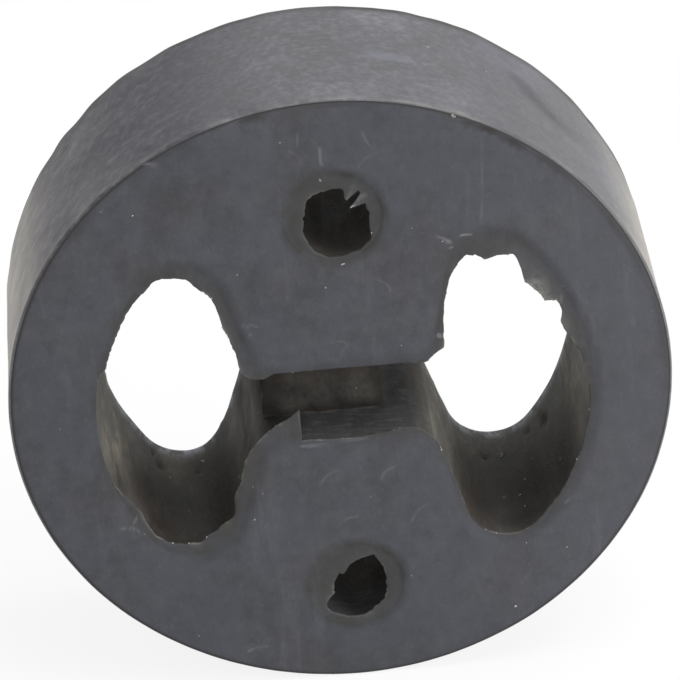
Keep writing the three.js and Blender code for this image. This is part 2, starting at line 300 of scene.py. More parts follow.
# Crumbs seen on the flat face: place, then radius
FACE_CRUMBS = (
    (-0.75, 24.0, 0.22), (0.9, 14.8, 0.17), (12.15, 29.8, 0.24), (12.35, 29.65, 0.15), (16.1, -25.9, 0.14),
    (-18.8, 21.9, 0.12), (-23.0, -7.4, 0.17), (-21.8, 22.6, 0.1), (-9.3, 14.6, 0.1), (-0.9, 12.4, 0.1),
    (-4.3, 28.4, 0.08), (7.7, 18.1, 0.1), (10.6, 16.4, 0.1), (-11.9, 12.1, 0.08), (20.7, -9.2, 0.1),
    (21.5, -19.4, 0.1), (-13.4, 7.6, 0.12), (-15.9, -26.2, 0.08), (2.2, -11.6, 0.08), (-8.4, -10.2, 0.1),
    (-9.4, -13.1, 0.09), (22.9, -3.1, 0.1),
)

# Crumbs seen on the openings' walls: opening, bearing from its middle, depth, then radius
WALL_CRUMBS = (
    ("left", 274.6, 17.7, 0.22), ("right", 272.6, 15.7, 0.3), ("right", 272.1, 15.3, 0.2),
    ("right", 278.8, 9.5, 0.12), ("right", 276.0, 7.2, 0.15), ("right", 276.9, 4.8, 0.15),
    ("left", 262, 15, 0.12), ("left", 268, 9, 0.1), ("right", 283, 12, 0.1), ("right", 320, 6, 0.14),
    ("right", 331, 9, 0.12), ("left", 292, 8, 0.12),
)

# Crumbs sown by chance on the torn edges and anywhere: how many, their least and their greatest radius
TORN_CRUMBS = (46, 0.05, 0.12)
LOOSE_CRUMBS = (60, 0.03, 0.07)
SOWING_SEED = 7
SCATTER_SEED = 5

# How far a crumb may be turned, and how it is squashed along its three ways: the least and the most
CRUMB_TURN = ((0, 0, 0), (0.5, 0.5, 6.28))
CRUMB_SQUASH = ((0.6, 0.5, 0.35), (1.3, 1.1, 0.7))

# Where painted light, painted shade and the rim's far dust and sheen change from left to right, in metres
# from the middle: where each change begins and is full
FACE_RIGHT_LIGHT_SPAN = (0.006, 0.03)
RIM_SHADE_LEFT_SPANS = ((-0.003, -0.018), (-0.0325, -0.0285))
RIM_SHADE_RIGHT_SPANS = ((0.009, 0.018), (0.029, 0.024))
RIM_DUST_AND_SHEEN_SPAN = (0.0265, 0.0318)

# Height of each finish's grain in metres, and its gloss, set on the shader's own sockets
FACE_BUMP = 0.00012
RIM_BUMP = 0.0001
WALL_BUMP = 0.0003
CRUMB_BUMP = 0.00005
FACE_GLOSS = {"Specular IOR Level": 0.42}
RIM_GLOSS = {**FACE_GLOSS, "Sheen Weight": 0.13, "Sheen Roughness": 0.3, "Sheen Tint": (1.0, 0.94, 0.86)}
WALL_GLOSS = {"Specular IOR Level": 0.16}

FLOAT, VECTOR, INTEGER = "NodeSocketFloat", "NodeSocketVector", "NodeSocketInt"
GEOMETRY = "NodeSocketGeometry"


# The sizes as the section uses them: lengths in millimetres, angles and factors as they are
def settings(context):
    given = context.scene.hanger_sizes
    sizes = SimpleNamespace()
    for name in given.__annotations__:
        unit = MM if given.bl_rna.properties[name].unit == "LENGTH" else 1
        setattr(sizes, name, getattr(given, name) / unit)
    return sizes, context.scene.hanger_colours


# Lays out points along an arc, closely enough that it can be resampled
def arc(centre, radius, start, end):
    bearings = np.linspace(start, end, max(8, int(abs(end - start) * radius / ARC_STEP)))
    return np.asarray(centre) + radius * np.column_stack((np.cos(bearings), np.sin(bearings)))


# Reads a table of places and values at other places
def read_table(table, at, **ends):
    places, values = np.array(table).T
    return np.interp(at, places, values, **ends)


# How far along a line of points each of them lies
def path_lengths(points):
    return np.concatenate(([0], np.cumsum(np.linalg.norm(np.diff(points, axis=0), axis=1))))


def on_path(points, along, places):
    return np.column_stack([np.interp(places, along, points[:, axis]) for axis in (0, 1)])


# Spreads points evenly along a closed outline
def spread_evenly(points, spacing):
    closed = np.vstack((points, points[:1]))
    along = path_lengths(closed)
    places = np.linspace(0, along[-1], round(along[-1] / spacing), endpoint=False)
    return on_path(closed, along, places)


# Gives each point of an outline the direction out of the rubber, which lies on the left of its travel
def out_of_rubber(points):
    travel = np.roll(points, -1, axis=0) - np.roll(points, 1, axis=0)
    travel /= np.linalg.norm(travel, axis=1)[:, None]
    return np.column_stack((travel[:, 1], -travel[:, 0]))


# A quarter of the openings' outline, for the upper right: from the slot's edge round to the outer wall
def quarter_outline(sizes, flank_lean, end_radius):
    slot_edge, corner, reach = sizes.slot_height / 2, sizes.boss_corner_radius, sizes.opening_reach
    out_of_boss = np.array((math.cos(flank_lean), -math.sin(flank_lean)))
    along_flank = np.array((math.sin(flank_lean), math.cos(flank_lean)))
    flank_distance = out_of_boss @ (sizes.boss_tip_width / 2, slot_edge)
    rise = slot_edge + corner
    across = (flank_distance - corner + rise * math.sin(flank_lean)) / math.cos(flank_lean)
    end_distance = flank_distance + end_radius
    end_along = math.sqrt((reach - end_radius) ** 2 - end_distance ** 2)
    end_centre = out_of_boss * end_distance + along_flank * end_along
    end_bearing = math.atan2(end_centre[1], end_centre[0])
    return np.vstack((
        arc((across, rise), corner, -math.pi / 2, -flank_lean),
        arc(end_centre, end_radius, math.pi - flank_lean, end_bearing),
        arc((0, 0), reach, end_bearing, 0)[1:],
    ))


def openings_outline(sizes):
    end_radius = sizes.opening_end_radius
    upper_right = quarter_outline(sizes, sizes.upper_right_flank_lean, end_radius)
    lower_right = quarter_outline(sizes, sizes.flank_lean, end_radius) * (1, -1)
    lower_left = quarter_outline(sizes, sizes.lower_left_flank_lean, sizes.lower_left_end_radius) * (-1, -1)
    upper_left = quarter_outline(sizes, sizes.flank_lean, end_radius) * (-1, 1)
    outline = np.vstack((upper_right, lower_right[::-1][1:], lower_left, upper_left[::-1][1:]))
    return spread_evenly(outline, OPENINGS_STEP) + pattern_centre(sizes)


def pattern_centre(sizes):
    return np.array((sizes.pattern_shift_right, -sizes.pattern_shift_down))


def opening_middle(sizes, side):
    return pattern_centre(sizes) + (SIDES[side] * sizes.opening_middle, 0)


def bearing_from(points, middle):
    away = points - middle
    return np.degrees(np.arctan2(away[:, 1], away[:, 0]))


def around(angle, middle):
    return (angle - middle + 180) % 360 - 180


def bell(distance, spread):
    return np.exp(-(distance / spread) ** 2)


# Smooth noise at each point, whose bumps have the given size; a flat point takes the seed as its depth
def smooth_noise(points, size, seed=0):
    places = np.zeros((len(points), 3))
    places[:, :points.shape[1]] = points
    return np.array([noise.noise(Vector(place)) for place in places / size + (0, 0, seed)])


# Tears are ragged at two scales, and keep the width that the table gives on average
def ragged(points, widths, raggedness, seed):
    coarse = smooth_noise(points, COARSE_TEARS, seed)
    fine = smooth_noise(points, FINE_TEARS, seed + 7)
    wide = np.clip(widths / 0.6, 0.15, 1)
    return np.maximum(widths + wide * raggedness * (1.3 * coarse + 0.9 * fine), LEAST_FILM)


# Adds up the rows of a table of soft bumps that belong to one opening: its name, bearing, spread and height
def sum_of_bumps(table, name, bearings):
    total = np.zeros(len(bearings))
    for opening, middle, spread, height in table:
        if opening == name:
            total += height * bell(around(bearings, middle), spread)
    return total


# One closed outline of the section, with the torn edge of the film that hangs on it
class Mouth:
    def __init__(self, points, cove, cove_shade, paleness):
        self.points = points
        self.cove_width, self.cove_depth = cove
        self.cove_shade = cove_shade
        self.paleness = paleness
        self.out = out_of_rubber(points)
        self.torn = points + LEAST_FILM * self.out
        self.lift = np.zeros(len(points))
        self.frayed = np.zeros(len(points))

    # The widths were read on the front face, and the film lies behind it, so its edge is dropped a little
    def tear(self, chosen, middle, name, widths, raggedness, seed):
        points = self.points[chosen]
        inward = middle - points
        inward /= np.linalg.norm(inward, axis=1)[:, None]
        widths = ragged(points, widths, raggedness, seed)
        drop = np.array((0, -FILM_DROP)) * np.clip(widths / 0.3, 0, 1)[:, None]
        reach = inward * widths[:, None] + drop
        short = np.maximum(LEAST_FILM - np.sum(reach * inward, axis=1), 0)
        self.torn[chosen] = points + reach + inward * short[:, None]
        share = np.clip(widths / 1.5, 0, 1)
        bearings = bearing_from(points, middle)
        tabs = sum_of_bumps(LIFTED_TABS, name, bearings)
        self.lift[chosen] = share * (tabs + 0.12 * smooth_noise(points, 3, seed))
        self.frayed[chosen] = sum_of_bumps(FRAYED_FILM, name, bearings)


def pin_mouth(sizes, centre, name, table, seed):
    circle = arc(centre, sizes.pin_hole_diameter / 2, 0, -2 * math.pi)[:-1]
    mouth = Mouth(spread_evenly(circle, PIN_STEP), PIN_COVE, PIN_COVE_SHADE, PIN_PALENESS)
    widths = read_table(table, bearing_from(mouth.points, centre), period=360)
    everywhere = np.ones(len(mouth.points), bool)
    mouth.tear(everywhere, centre, name, widths, sizes.tear_raggedness, seed)
    return mouth


def openings_mouth(sizes):
    centre = pattern_centre(sizes)
    mouth = Mouth(openings_outline(sizes), OPENINGS_COVE, OPENINGS_COVE_SHADE, OPENINGS_PALENESS)
    across = mouth.points[:, 0] - centre[0]
    for name, table, seed in (("left", LEFT_OPENING_FILM, 3), ("right", RIGHT_OPENING_FILM, 5)):
        middle = opening_middle(sizes, name)
        bearings = bearing_from(mouth.points, middle)
        if name == "left":
            bearings %= 360
        widths = read_table(table, bearings)
        chosen = (SIDES[name] * across > sizes.boss_tip_width / 2 - 1.5) & (widths > 0)
        mouth.tear(chosen, middle, name, widths[chosen], sizes.tear_raggedness, seed)
    add_slot_lip(mouth, sizes, centre)
    add_flap(mouth, sizes, centre)
    return mouth


def add_slot_lip(mouth, sizes, centre):
    x, y = mouth.points.T
    floor = centre[1] - sizes.slot_height / 2
    heights = read_table(SLOT_LIP_FILM, x - centre[0], left=0, right=0)
    near_floor = (y < centre[1]) & (y > floor - 1.2)
    chosen = (heights > 0) & near_floor & (x < sizes.boss_tip_width / 2 + 0.6)
    heights = ragged(mouth.points[chosen], heights[chosen], sizes.tear_raggedness * 0.7, 11)
    mouth.torn[chosen] = mouth.points[chosen] + heights[:, None] * (0, 1)
    mouth.frayed[chosen] = 0.9 * bell(x[chosen] - centre[0] + 1.6, 2.6)


# The flap's left edge is fanned out from the boss's flank and shoulder, and its right edge drops straight
def add_flap(mouth, sizes, centre):
    x, y = mouth.points.T
    edge = np.array(FLAP_EDGE) - (0, FILM_DROP)
    foot, tip = edge[0], edge[-1]
    floor = centre[1] - sizes.slot_height / 2
    on_floor = np.flatnonzero((np.abs(y - floor) < 0.3) & (x < tip[0] + 1) & (x > tip[0] - 1))
    last = on_floor[np.argmin(np.abs(x[on_floor] - tip[0]))]
    on_flank = (x < centre[0]) & (y < floor) & (x > foot[0])
    near_foot = np.flatnonzero(on_flank & (y < foot[1] + 0.4) & (y > foot[1] - 0.4))
    first = near_foot[np.argmin(np.abs(y[near_foot] - foot[1]))]
    step = 1 if last > first else -1
    column = np.arange(first, last + step, step)
    along = path_lengths(edge)
    target = on_path(edge, along, np.linspace(0, along[-1], len(column)))
    frays = [smooth_noise(target[:-1], 0.5, seed) for seed in (21, 23)]
    target[:-1] += 0.05 * np.column_stack(frays)
    mouth.torn[column] = target
    mouth.points[last, 0] = tip[0] - 0.02
    mouth.points[last + step, 0] = tip[0] + 0.04
    mouth.torn[last + step] = mouth.points[last + step] + (0, FLAP_HEEL)
    mouth.lift[column] = 0.1 * np.linspace(0, 1, len(column)) ** 2


# Collects the mesh in the section's own frame: x right, y up, depth below the front face
class Shell:
    def __init__(self):
        self.places = []
        self.faces = []
        self.finish = []
        self.marks = {name: [] for name in ("torn", "mouth", "film", "frayed", "edge")}

    # Joins rows of points that lie behind each other, and gives the first and the last row's indices back
    def add_rows(self, rows):
        columns = len(rows[0]["xy"])
        base = sum(len(part) for part in self.places)
        for row in rows:
            depth = np.broadcast_to(row["depth"], columns)
            self.places.append(np.column_stack((row["xy"], depth)))
            for name, found in self.marks.items():
                found.append(np.broadcast_to(row.get(name, 0.0), columns))
        here = np.arange(columns)
        after = np.roll(here, -1)
        for index, row in enumerate(rows[:-1]):
            top, below = base + index * columns, base + (index + 1) * columns
            quads = np.column_stack((top + here, below + here, below + after, top + after))
            self.faces.extend(map(tuple, quads))
            self.finish.extend([row["finish"]] * columns)
        return base + here, base + (len(rows) - 1) * columns + here

    # Closes a face between the rim's edge and the edges of its holes, with points spread evenly inside it
    def add_cap(self, loops, depth, spacing, looks_to_front, seed, fine=()):
        places = np.vstack(self.places)
        outlines = [places[loop][:, :2] for loop in loops]
        inner = points_inside(outlines, spacing, seed, fine)
        base = len(places)
        self.places.append(np.column_stack((inner, np.full(len(inner), depth))))
        for found in self.marks.values():
            found.append(np.zeros(len(inner)))
        known = np.concatenate((*loops, base + np.arange(len(inner))))
        flat = np.vstack((*outlines, inner))
        edges = []
        start = 0
        for loop in loops:
            edges += [(start + i, start + (i + 1) % len(loop)) for i in range(len(loop))]
            start += len(loop)
        made, _, triangles, origins, _, _ = delaunay_2d_cdt([Vector(p) for p in flat], edges, [], 0, 1e-6)
        if len(made) != len(flat):
            raise RuntimeError("the face's outlines cross, so its triangles don't match its points")
        back = np.array([found[0] for found in origins])
        triangles = np.array(triangles)
        centres = np.array([tuple(p) for p in made])[triangles].mean(axis=1)
        for a, b, c in known[back[triangles[between_outlines(centres, outlines)]]]:
            self.faces.append((a, b, c) if looks_to_front else (a, c, b))
            self.finish.append(FACE)


def inside(points, outline):
    x, y = points[:, 0, None], points[:, 1, None]
    start, end = outline, np.roll(outline, -1, axis=0)
    spans = (start[None, :, 1] > y) != (end[None, :, 1] > y)
    rise = np.where(end[:, 1] == start[:, 1], 1e-12, end[:, 1] - start[:, 1])
    crossing = start[None, :, 0] + (y - start[None, :, 1]) / rise[None] * (end - start)[None, :, 0]
    return np.count_nonzero(spans & (x < crossing), axis=1) % 2 == 1


# Which points lie inside the first outline and in none of the others, which are its holes
def between_outlines(points, outlines):
    kept = inside(points, outlines[0])
    for hole in outlines[1:]:
        kept &= ~inside(points, hole)
    return kept


# Points in a triangular pattern, shaken a little so that no rows show, and clear of every edge
def points_inside(outlines, spacing, seed, fine):
    rng = np.random.default_rng(seed)
    low, high = outlines[0].min(axis=0), outlines[0].max(axis=0)
    grid = []
    for index, y in enumerate(np.arange(low[1], high[1], spacing * math.sqrt(3) / 2)):
        grid += [(x, y) for x in np.arange(low[0] + (index % 2) * spacing / 2, high[0], spacing)]
    grid = np.array(grid)
    grid += rng.uniform(-0.12, 0.12, grid.shape) * spacing
    if len(fine):
        grid = np.vstack((grid[clear_of(grid, fine, spacing * 0.5)], fine))
    grid = grid[between_outlines(grid, outlines)]
    return grid[clear_of(grid, np.vstack(outlines), spacing * 0.6)]


def clear_of(points, others, distance):
    clear = np.ones(len(points), bool)
    for part in np.array_split(others, 12):
        clear &= (np.linalg.norm(points[:, None] - part[None], axis=2) > distance).all(axis=1)
    return clear


# Close points along every scuff, so that the scuff's mask is drawn finely
def scuff_points():
    found = []
    for start, end, bow, _ in FACE_SCUFFS:
        start, end = np.array(start), np.array(end)
        along = end - start
        reach = np.linalg.norm(along)
        side = np.array((-along[1], along[0])) / reach
        for share in np.linspace(0, 1, int(reach / SCUFF_STEP) + 2):
            middle = start + share * along + side * bow * 4 * share * (1 - share)
            found += [middle + side * step for step in SCUFF_BESIDE]
    return thinned(np.array(found), 0.07)


# Drops each point that lies too close to one kept before it
def thinned(points, distance):
    kept = []
    for point in points:
        if not kept or np.min(np.linalg.norm(np.array(kept) - point, axis=1)) > distance:
            kept.append(point)
    return np.array(kept)


def rear_rows(points, out, sizes, finish):
    thickness, rounding = sizes.disc_thickness, sizes.rear_rounding
    return [
        {"xy": points - out * rounding * inward, "depth": thickness - rounding * left, "finish": finish}
        for inward, left in REAR_EDGE
    ]


def mouth_rows(mouth, sizes, spacing):
    points, thickness = mouth.points, sizes.disc_thickness
    recess = mouth.cove_depth * (1 + 0.3 * smooth_noise(points, 4, 31))
    uneven = 1 + 0.3 * smooth_noise(points, 3, 33) + 0.25 * smooth_noise(points, 1.1, 35)
    width = mouth.cove_width * uneven
    rows = []
    for away, fall in MOUTH_COVE:
        shade = (MOUTH_SHADE - MOUTH_SHADE * max(away - 0.2, 0) / 1.35) * mouth.cove_shade
        edge = points - mouth.out * (width * away)[:, None]
        rows.append({"xy": edge, "depth": recess * fall, "mouth": shade, "finish": FACE})
    for share, depth, torn in FILM_PROFILE:
        rows.append({
            "xy": points + (mouth.torn - points) * share,
            "depth": recess + 0.04 + depth - mouth.lift * share ** 2,
            "mouth": (MOUTH_SHADE - 0.45 * min(1, 2.5 * share)) * mouth.cove_shade,
            "torn": torn * mouth.paleness,
            "film": min(1, 3 * share),
            "frayed": mouth.frayed * share ** 2,
            "finish": FACE,
        })
    rows[-1]["finish"] = WALL
    draft = rear_draft(points, sizes)[:, None] * mouth.out
    for depth in (*ROOT_DEPTHS, *np.arange(2.2, thickness - sizes.rear_rounding - 0.4, spacing)):
        rows.append({"xy": points + draft * (depth / thickness) ** 2, "depth": depth, "finish": WALL})
    return rows + rear_rows(points + draft, mouth.out, sizes, WALL)


# The left opening narrows towards the rear, most at its lower right, and the right one widens a little
def rear_draft(points, sizes):
    across = points[:, 0] - pattern_centre(sizes)[0]
    found = np.zeros(len(points))
    for side, table in (("left", LEFT_REAR_DRAFT), ("right", RIGHT_REAR_DRAFT)):
        drawn = read_table(table, bearing_from(points, opening_middle(sizes, side)) % 360, period=360)
        found += drawn * np.clip(SIDES[side] * across / 6 - 0.25, 0, 1)
    return found


def rim_rows(points, sizes):
    out = out_of_rubber(points)
    rows = []
    # The pale and dark values of the front edge are painted light: a highlight on its ridge and shade in its
    # groove
    for index, (step, depth, pale) in enumerate(RIM_FRONT):
        finish = FACE if index < 3 else RIM
        rows.append({"xy": points + out * step, "depth": depth, "edge": pale, "finish": finish})
    for depth in np.arange(1.35, sizes.disc_thickness - sizes.rear_rounding - 0.3, RIM_ROW_STEP):
        rows.append({"xy": points, "depth": depth, "finish": RIM})
    return rows + rear_rows(points, out, sizes, RIM)


# From the section's frame to the object's own: the origin is the upper pin hole's centre at mid-thickness
def to_object(sizes, places):
    x, y, depth = places.T
    centre = pattern_centre(sizes)
    across = x - centre[0]
    back = depth - sizes.disc_thickness / 2
    up = y - centre[1] - sizes.pin_hole_spacing / 2
    return np.column_stack((across, back, up)) * MM


def make_mesh(name, places, faces, finish, materials):
    mesh = bpy.data.meshes.new(name)
    mesh.from_pydata(places.tolist(), [], [tuple(int(i) for i in face) for face in faces])
    for material in materials:
        mesh.materials.append(material)
    mesh.polygons.foreach_set("material_index", finish)
    mesh.validate()
    mesh.update()
    return mesh


def make_object(name, mesh):
    made = bpy.data.objects.new(name, mesh)
    bpy.context.scene.collection.objects.link(made)
    return made


# The thin web behind the slot's front mouth, a closed sheet whose foot and head are sunk in the rubber
def web_mesh(sizes, materials):
    centre = pattern_centre(sizes)
    half = sizes.slot_height / 2 + WEB_SINK
    left, right = centre[0] - sizes.web_left_edge, centre[0] + sizes.web_right_edge
    u, v = np.meshgrid(np.linspace(0, 1, WEB_COLUMNS), np.linspace(0, 1, WEB_ROWS))
    y = centre[1] - half + 2 * half * v
    wobble = smooth_noise(np.column_stack((np.zeros(WEB_ROWS), y[:, 0])), 1.6, 4)[:, None]
    x = left + (right - left) * u + WEB_UNEVENNESS * wobble * (u - 0.5) * 2
    flat = np.column_stack((x.ravel(), y.ravel()))
    swell = smooth_noise(flat, 2.2, 9).reshape(x.shape)
    edge = np.minimum(np.minimum(u, 1 - u) * WEB_COLUMNS / 2.5, 1)
    half_thick = sizes.web_thickness / 2 * np.sqrt(1 - (1 - edge) ** 2 * 0.85)
    middle = sizes.web_depth + sizes.web_thickness / 2 + WEB_UNEVENNESS * swell
    depths = (middle - half_thick, middle + half_thick)
    places = to_object(sizes, np.vstack([np.column_stack((flat, depth.ravel())) for depth in depths]))
    grid = np.arange(x.size).reshape(x.shape)
    faces = []
    for row, column in np.ndindex(WEB_ROWS - 1, WEB_COLUMNS - 1):
        (a, b), (d, c) = grid[row:row + 2, column:column + 2]
        faces += [(a, b, c, d), (a + x.size, d + x.size, c + x.size, b + x.size)]
    ring = [*grid[0, :-1], *grid[:-1, -1], *grid[-1, :0:-1], *grid[:0:-1, 0]]
    for here, after in zip(ring, ring[1:] + ring[:1]):
        faces.append((after, here, here + x.size, after + x.size))
    return make_mesh("slot web", places, faces, [WALL] * len(faces), materials)


def distance_to_stroke(points, start, end, bow):
    start, end = np.array(start), np.array(end)
    along = end - start
    share = np.clip(((points - start) @ along) / (along @ along), 0, 1)
    side = np.array((-along[1], along[0])) / np.linalg.norm(along)
    on_stroke = start + share[:, None] * along + side * (bow * 4 * share * (1 - share))[:, None]
    return np.linalg.norm(points - on_stroke, axis=1), share


def vertex_values(mesh, name):
    values = np.empty(len(mesh.vertices) * 3)
    mesh.vertices.foreach_get(name, values)
    return values.reshape(-1, 3)


def store(mesh, name, values):
    attribute = mesh.attributes.get(name) or mesh.attributes.new(name, "FLOAT", "POINT")
    attribute.data.foreach_set("value", np.asarray(values, np.float32))


# Where each vertex of the whole mesh lies: in the section's frame, in the openings and round the rim
class Surface:
    def __init__(self, mesh, sizes):
        self.sizes = sizes
        places = vertex_values(mesh, "co") / MM
        centre = pattern_centre(sizes)
        self.x = places[:, 0] + centre[0]
        self.y = places[:, 2] + centre[1] + sizes.pin_hole_spacing / 2
        self.depth = places[:, 1] + sizes.disc_thickness / 2
        self.xy = np.column_stack((self.x, self.y))
        self.across, self.up = (self.xy - centre).T
        self.from_pin = np.hypot(self.across, np.abs(self.up) - sizes.pin_hole_spacing / 2)
        self.in_pin_hole = (self.from_pin < IN_PIN_HOLE) & (self.depth > 1)
        self.from_middle = np.hypot(self.x, self.y)
        self.rim_radius = sizes.disc_diameter / 2
        self.on_rim = self.from_middle > self.rim_radius - 1
        self.bearings = np.degrees(np.arctan2(self.y, self.x))
        self.past_web = self.across - sizes.web_right_edge
        near_web = np.abs(self.depth - sizes.web_depth) < 1
        in_slot = np.abs(self.up) < sizes.slot_height / 2 - 0.1
        on_width = (self.past_web < 0.4) & (self.across > -WEB_LEFT_END)
        self.on_web = near_web & in_slot & on_width

    # Bearings from an opening's middle, and which vertices lie on that opening's side
    def about(self, side):
        turned = bearing_from(self.xy, opening_middle(self.sizes, side)) % 360
        return turned, SIDES[side] * self.across > SIDE_STARTS


# Presses dents, pits and a soft waviness into the whole surface, along its normals
def wear_in(mesh, sizes):
    surface = Surface(mesh, sizes)
    depth, on_rim = surface.depth, surface.on_rim
    places = np.column_stack((surface.xy, depth))
    push = sizes.surface_waviness * smooth_noise(places, BROAD_WAVES)
    push += sizes.surface_waviness * CLOSE_SHARE * smooth_noise(places, CLOSE_WAVES, 40)
    for x, y, radius, sink in FACE_DENTS:
        apart = np.hypot(surface.x - x, surface.y - y)
        push -= np.where(depth < 0.05, sink * bell(apart, radius), 0)
    for bearing, at, radius, sink in RIM_DENTS:
        turned = np.radians(around(surface.bearings, bearing)) * surface.rim_radius
        push -= np.where(on_rim, sink * bell(np.hypot(turned, depth - at), radius), 0)
    inner_wall = ~on_rim & (depth > 1) & (surface.from_middle < 26)
    for side, bearing, at, radius, sink in WALL_PITS:
        turned, near = surface.about(side)
        apart = np.hypot(np.radians(around(turned, bearing)) * WALL_AWAY, depth - at)
        push -= np.where(near & inner_wall, sink * bell(apart, radius), 0)
    wobble = REAR_WOBBLE * smooth_noise(surface.xy, REAR_WOBBLE_SIZE, 60)
    push += np.where(on_rim, wobble * np.clip((depth - 16) / 5, 0, 1), 0)
    wall = ~on_rim & (depth > 1.4) & (depth < sizes.disc_thickness - 0.8)
    push += np.where(wall, sizes.wall_roughness * smooth_noise(places, WALL_RIBS), 0)
    moved = vertex_values(mesh, "co") + vertex_values(mesh, "normal") * push[:, None] * MM
    mesh.vertices.foreach_set("co", moved.ravel())
    mesh.update()


# Lets a mark show where it is stronger than what lies there already
def highest(found, where, value):
    return np.maximum(found, np.where(where, value, 0))


def scuff_mask(surface):
    found = 0
    for start, end, bow, strength in FACE_SCUFFS:
        apart, _ = distance_to_stroke(surface.xy, start, end, bow)
        found = highest(found, surface.depth < 0.3, strength * bell(apart, SCUFF_WIDTH))
    return found


# The smear on the rim, and the chipped places of its front edge
def smear_mask(surface):
    depth, bearings, radius = surface.depth, surface.bearings, surface.rim_radius
    unrolled = np.column_stack((np.radians(bearings) * radius, depth))
    line = [(math.radians(bearing) * radius, at, strength) for bearing, at, strength in RIM_SMEAR]
    found = 0
    for start, end in zip(line, line[1:]):
        apart, share = distance_to_stroke(unrolled, start[:2], end[:2], 0)
        strength = start[2] + (end[2] - start[2]) * share
        found = highest(found, surface.on_rim, strength * bell(apart, SMEAR_WIDTH))
    at_edge = (surface.from_middle > radius - 0.9) & (depth < 0.9)
    for bearing, spread, strength in EDGE_CHIPS:
        chip = strength * bell(around(bearings, bearing), spread) * bell(depth, CHIP_DEPTH)
        found = highest(found, at_edge, chip)
    return found


# The slot's floor in front of the web and right of it
def slate_mask(surface):
    sizes, depth = surface.sizes, surface.depth
    on_floor = np.clip((-surface.up - sizes.slot_height / 2 + 0.35) / 0.25, 0, 1)
    on_floor = on_floor * np.clip((7.6 - np.abs(surface.across)) / 1.4, 0, 1)
    before_web = np.clip((sizes.web_depth + 0.4 - depth) / 0.6, 0, 1)
    return np.where(depth > 0.9, on_floor * np.maximum(before_web, np.clip(surface.past_web, 0, 1)), 0)


# The dark line along the rim's rear edge, and the painted highlight along the openings' rear edges
def rear_line_and_highlight_mask(surface):
    depth, on_rim = surface.depth, surface.on_rim
    line_start = np.interp(surface.bearings, REAR_LINE_BEARINGS, REAR_LINE_DEPTHS)
    rim_line = np.clip((depth - line_start) / REAR_LINE_FADE, 0, 1)
    before_rear = np.clip((surface.sizes.disc_thickness + 0.05 - depth) / 0.5, 0, 1)
    wall_highlight = np.clip((depth - REAR_HIGHLIGHT_START) / REAR_HIGHLIGHT_REACH, 0, 1) ** 1.5 * before_rear
    found = np.where(on_rim, rim_line, wall_highlight)
    found *= np.where(on_rim & (surface.y < -4), LOWER_LINE_SHARE, 1)
    return np.where(surface.from_pin < ROUND_PIN_HOLE, 0, found)


def bloom_mask(surface):
    found = 0
    for bearing, at, spread, reach, strength in RIM_BLOOM:
        turned = around(surface.bearings, bearing)
        shape = np.exp(-(turned / spread) ** 4 - ((surface.depth - at) / reach) ** 4)
        found = highest(found, surface.on_rim, strength * shape)
    return found


def wall_patches(surface, table):
    found = 0
    for side, bearing, at, spread, reach, strength in table:
        turned, near = surface.about(side)
        shape = np.exp(-(around(turned, bearing) / spread) ** 2 - ((surface.depth - at) / reach) ** 2)
        found = highest(found, near, strength * shape)
    return found


def soil_mask(surface):
    return wall_patches(surface, WALL_SOIL)


# Painted shade on the walls, in the pits, on the front of the web, on the floor behind it and in the pin
# holes
def painted_shade_mask(surface):
    across, up, depth = surface.across, surface.up, surface.depth
    found = wall_patches(surface, WALL_SHADE)
    for side, bearing, at, radius, _ in WALL_PITS:
        turned, near = surface.about(side)
        turned = np.radians(around(turned, bearing)) * WALL_AWAY
        found = highest(found, near, np.exp(-((turned ** 2 + (depth - at) ** 2) / (radius * 0.8) ** 2)))
    from_border = np.minimum(np.minimum(-surface.past_web, 0.6 * (across + 6.9)), 3.9 - np.abs(up))
    found = highest(found, surface.on_web, np.clip(1.05 - 0.4 * from_border, 0.62, 0.97))
    patches = 0.5 + 0.9 * smooth_noise(np.column_stack((across, depth)), 1.6, 71)
    in_slot = (np.abs(up) < 5) & (surface.past_web > -0.5) & (across < 6.6)
    found = highest(found, in_slot & (depth > surface.sizes.web_depth), np.clip(patches, 0.1, 0.85))
    return highest(found, surface.in_pin_hole, PIN_HOLE_SHADE)


# Reddish brown dirt on the walls and in the pin holes, and on the web's top, its foot and its right edge
def rust_mask(surface):
    found = wall_patches(surface, WALL_RUST)
    top, foot, side = bell(surface.up - 0.6, 1.0), bell(surface.up + 3.9, 0.6), bell(surface.past_web, 0.6)
    found = highest(found, surface.on_web, WEB_RUST * np.maximum(np.maximum(top, foot), side))
    return highest(found, surface.in_pin_hole, PIN_RUST)


# Writes the masks that the materials read
def paint_masks(mesh, sizes):
    surface = Surface(mesh, sizes)
    for name, mask in (
        ("scuff", scuff_mask), ("smear", smear_mask), ("slate", slate_mask), ("rear", rear_line_and_highlight_mask),
        ("bloom", bloom_mask), ("soil", soil_mask), ("painted_shade", painted_shade_mask), ("rust", rust_mask),
    ):
        store(mesh, name, mask(surface))


def rubber_shell(sizes):
    circle = arc((0, 0), sizes.disc_diameter / 2, -math.pi / 2, 1.5 * math.pi)[:-1]
    centre = pattern_centre(sizes)
    rise = (0, sizes.pin_hole_spacing / 2)
    shell = Shell()
    ends = [
        shell.add_rows(rim_rows(spread_evenly(circle, RIM_STEP), sizes)),
        shell.add_rows(mouth_rows(openings_mouth(sizes), sizes, OPENINGS_ROW_STEP)),
    ]
    for middle, name, table, seed in (
        (centre + rise, "upper pin", UPPER_PIN_FILM, 13), (centre - rise, "lower pin", LOWER_PIN_FILM, 17),
    ):
        mouth = pin_mouth(sizes, middle, name, table, seed)
        ends.append(shell.add_rows(mouth_rows(mouth, sizes, PIN_ROW_STEP)))
    fronts, rears = zip(*ends)
    shell.add_cap(fronts, 0.0, FRONT_STEP, True, 101, scuff_points())
    shell.add_cap(rears, sizes.disc_thickness, REAR_STEP, False, 103)
    return shell


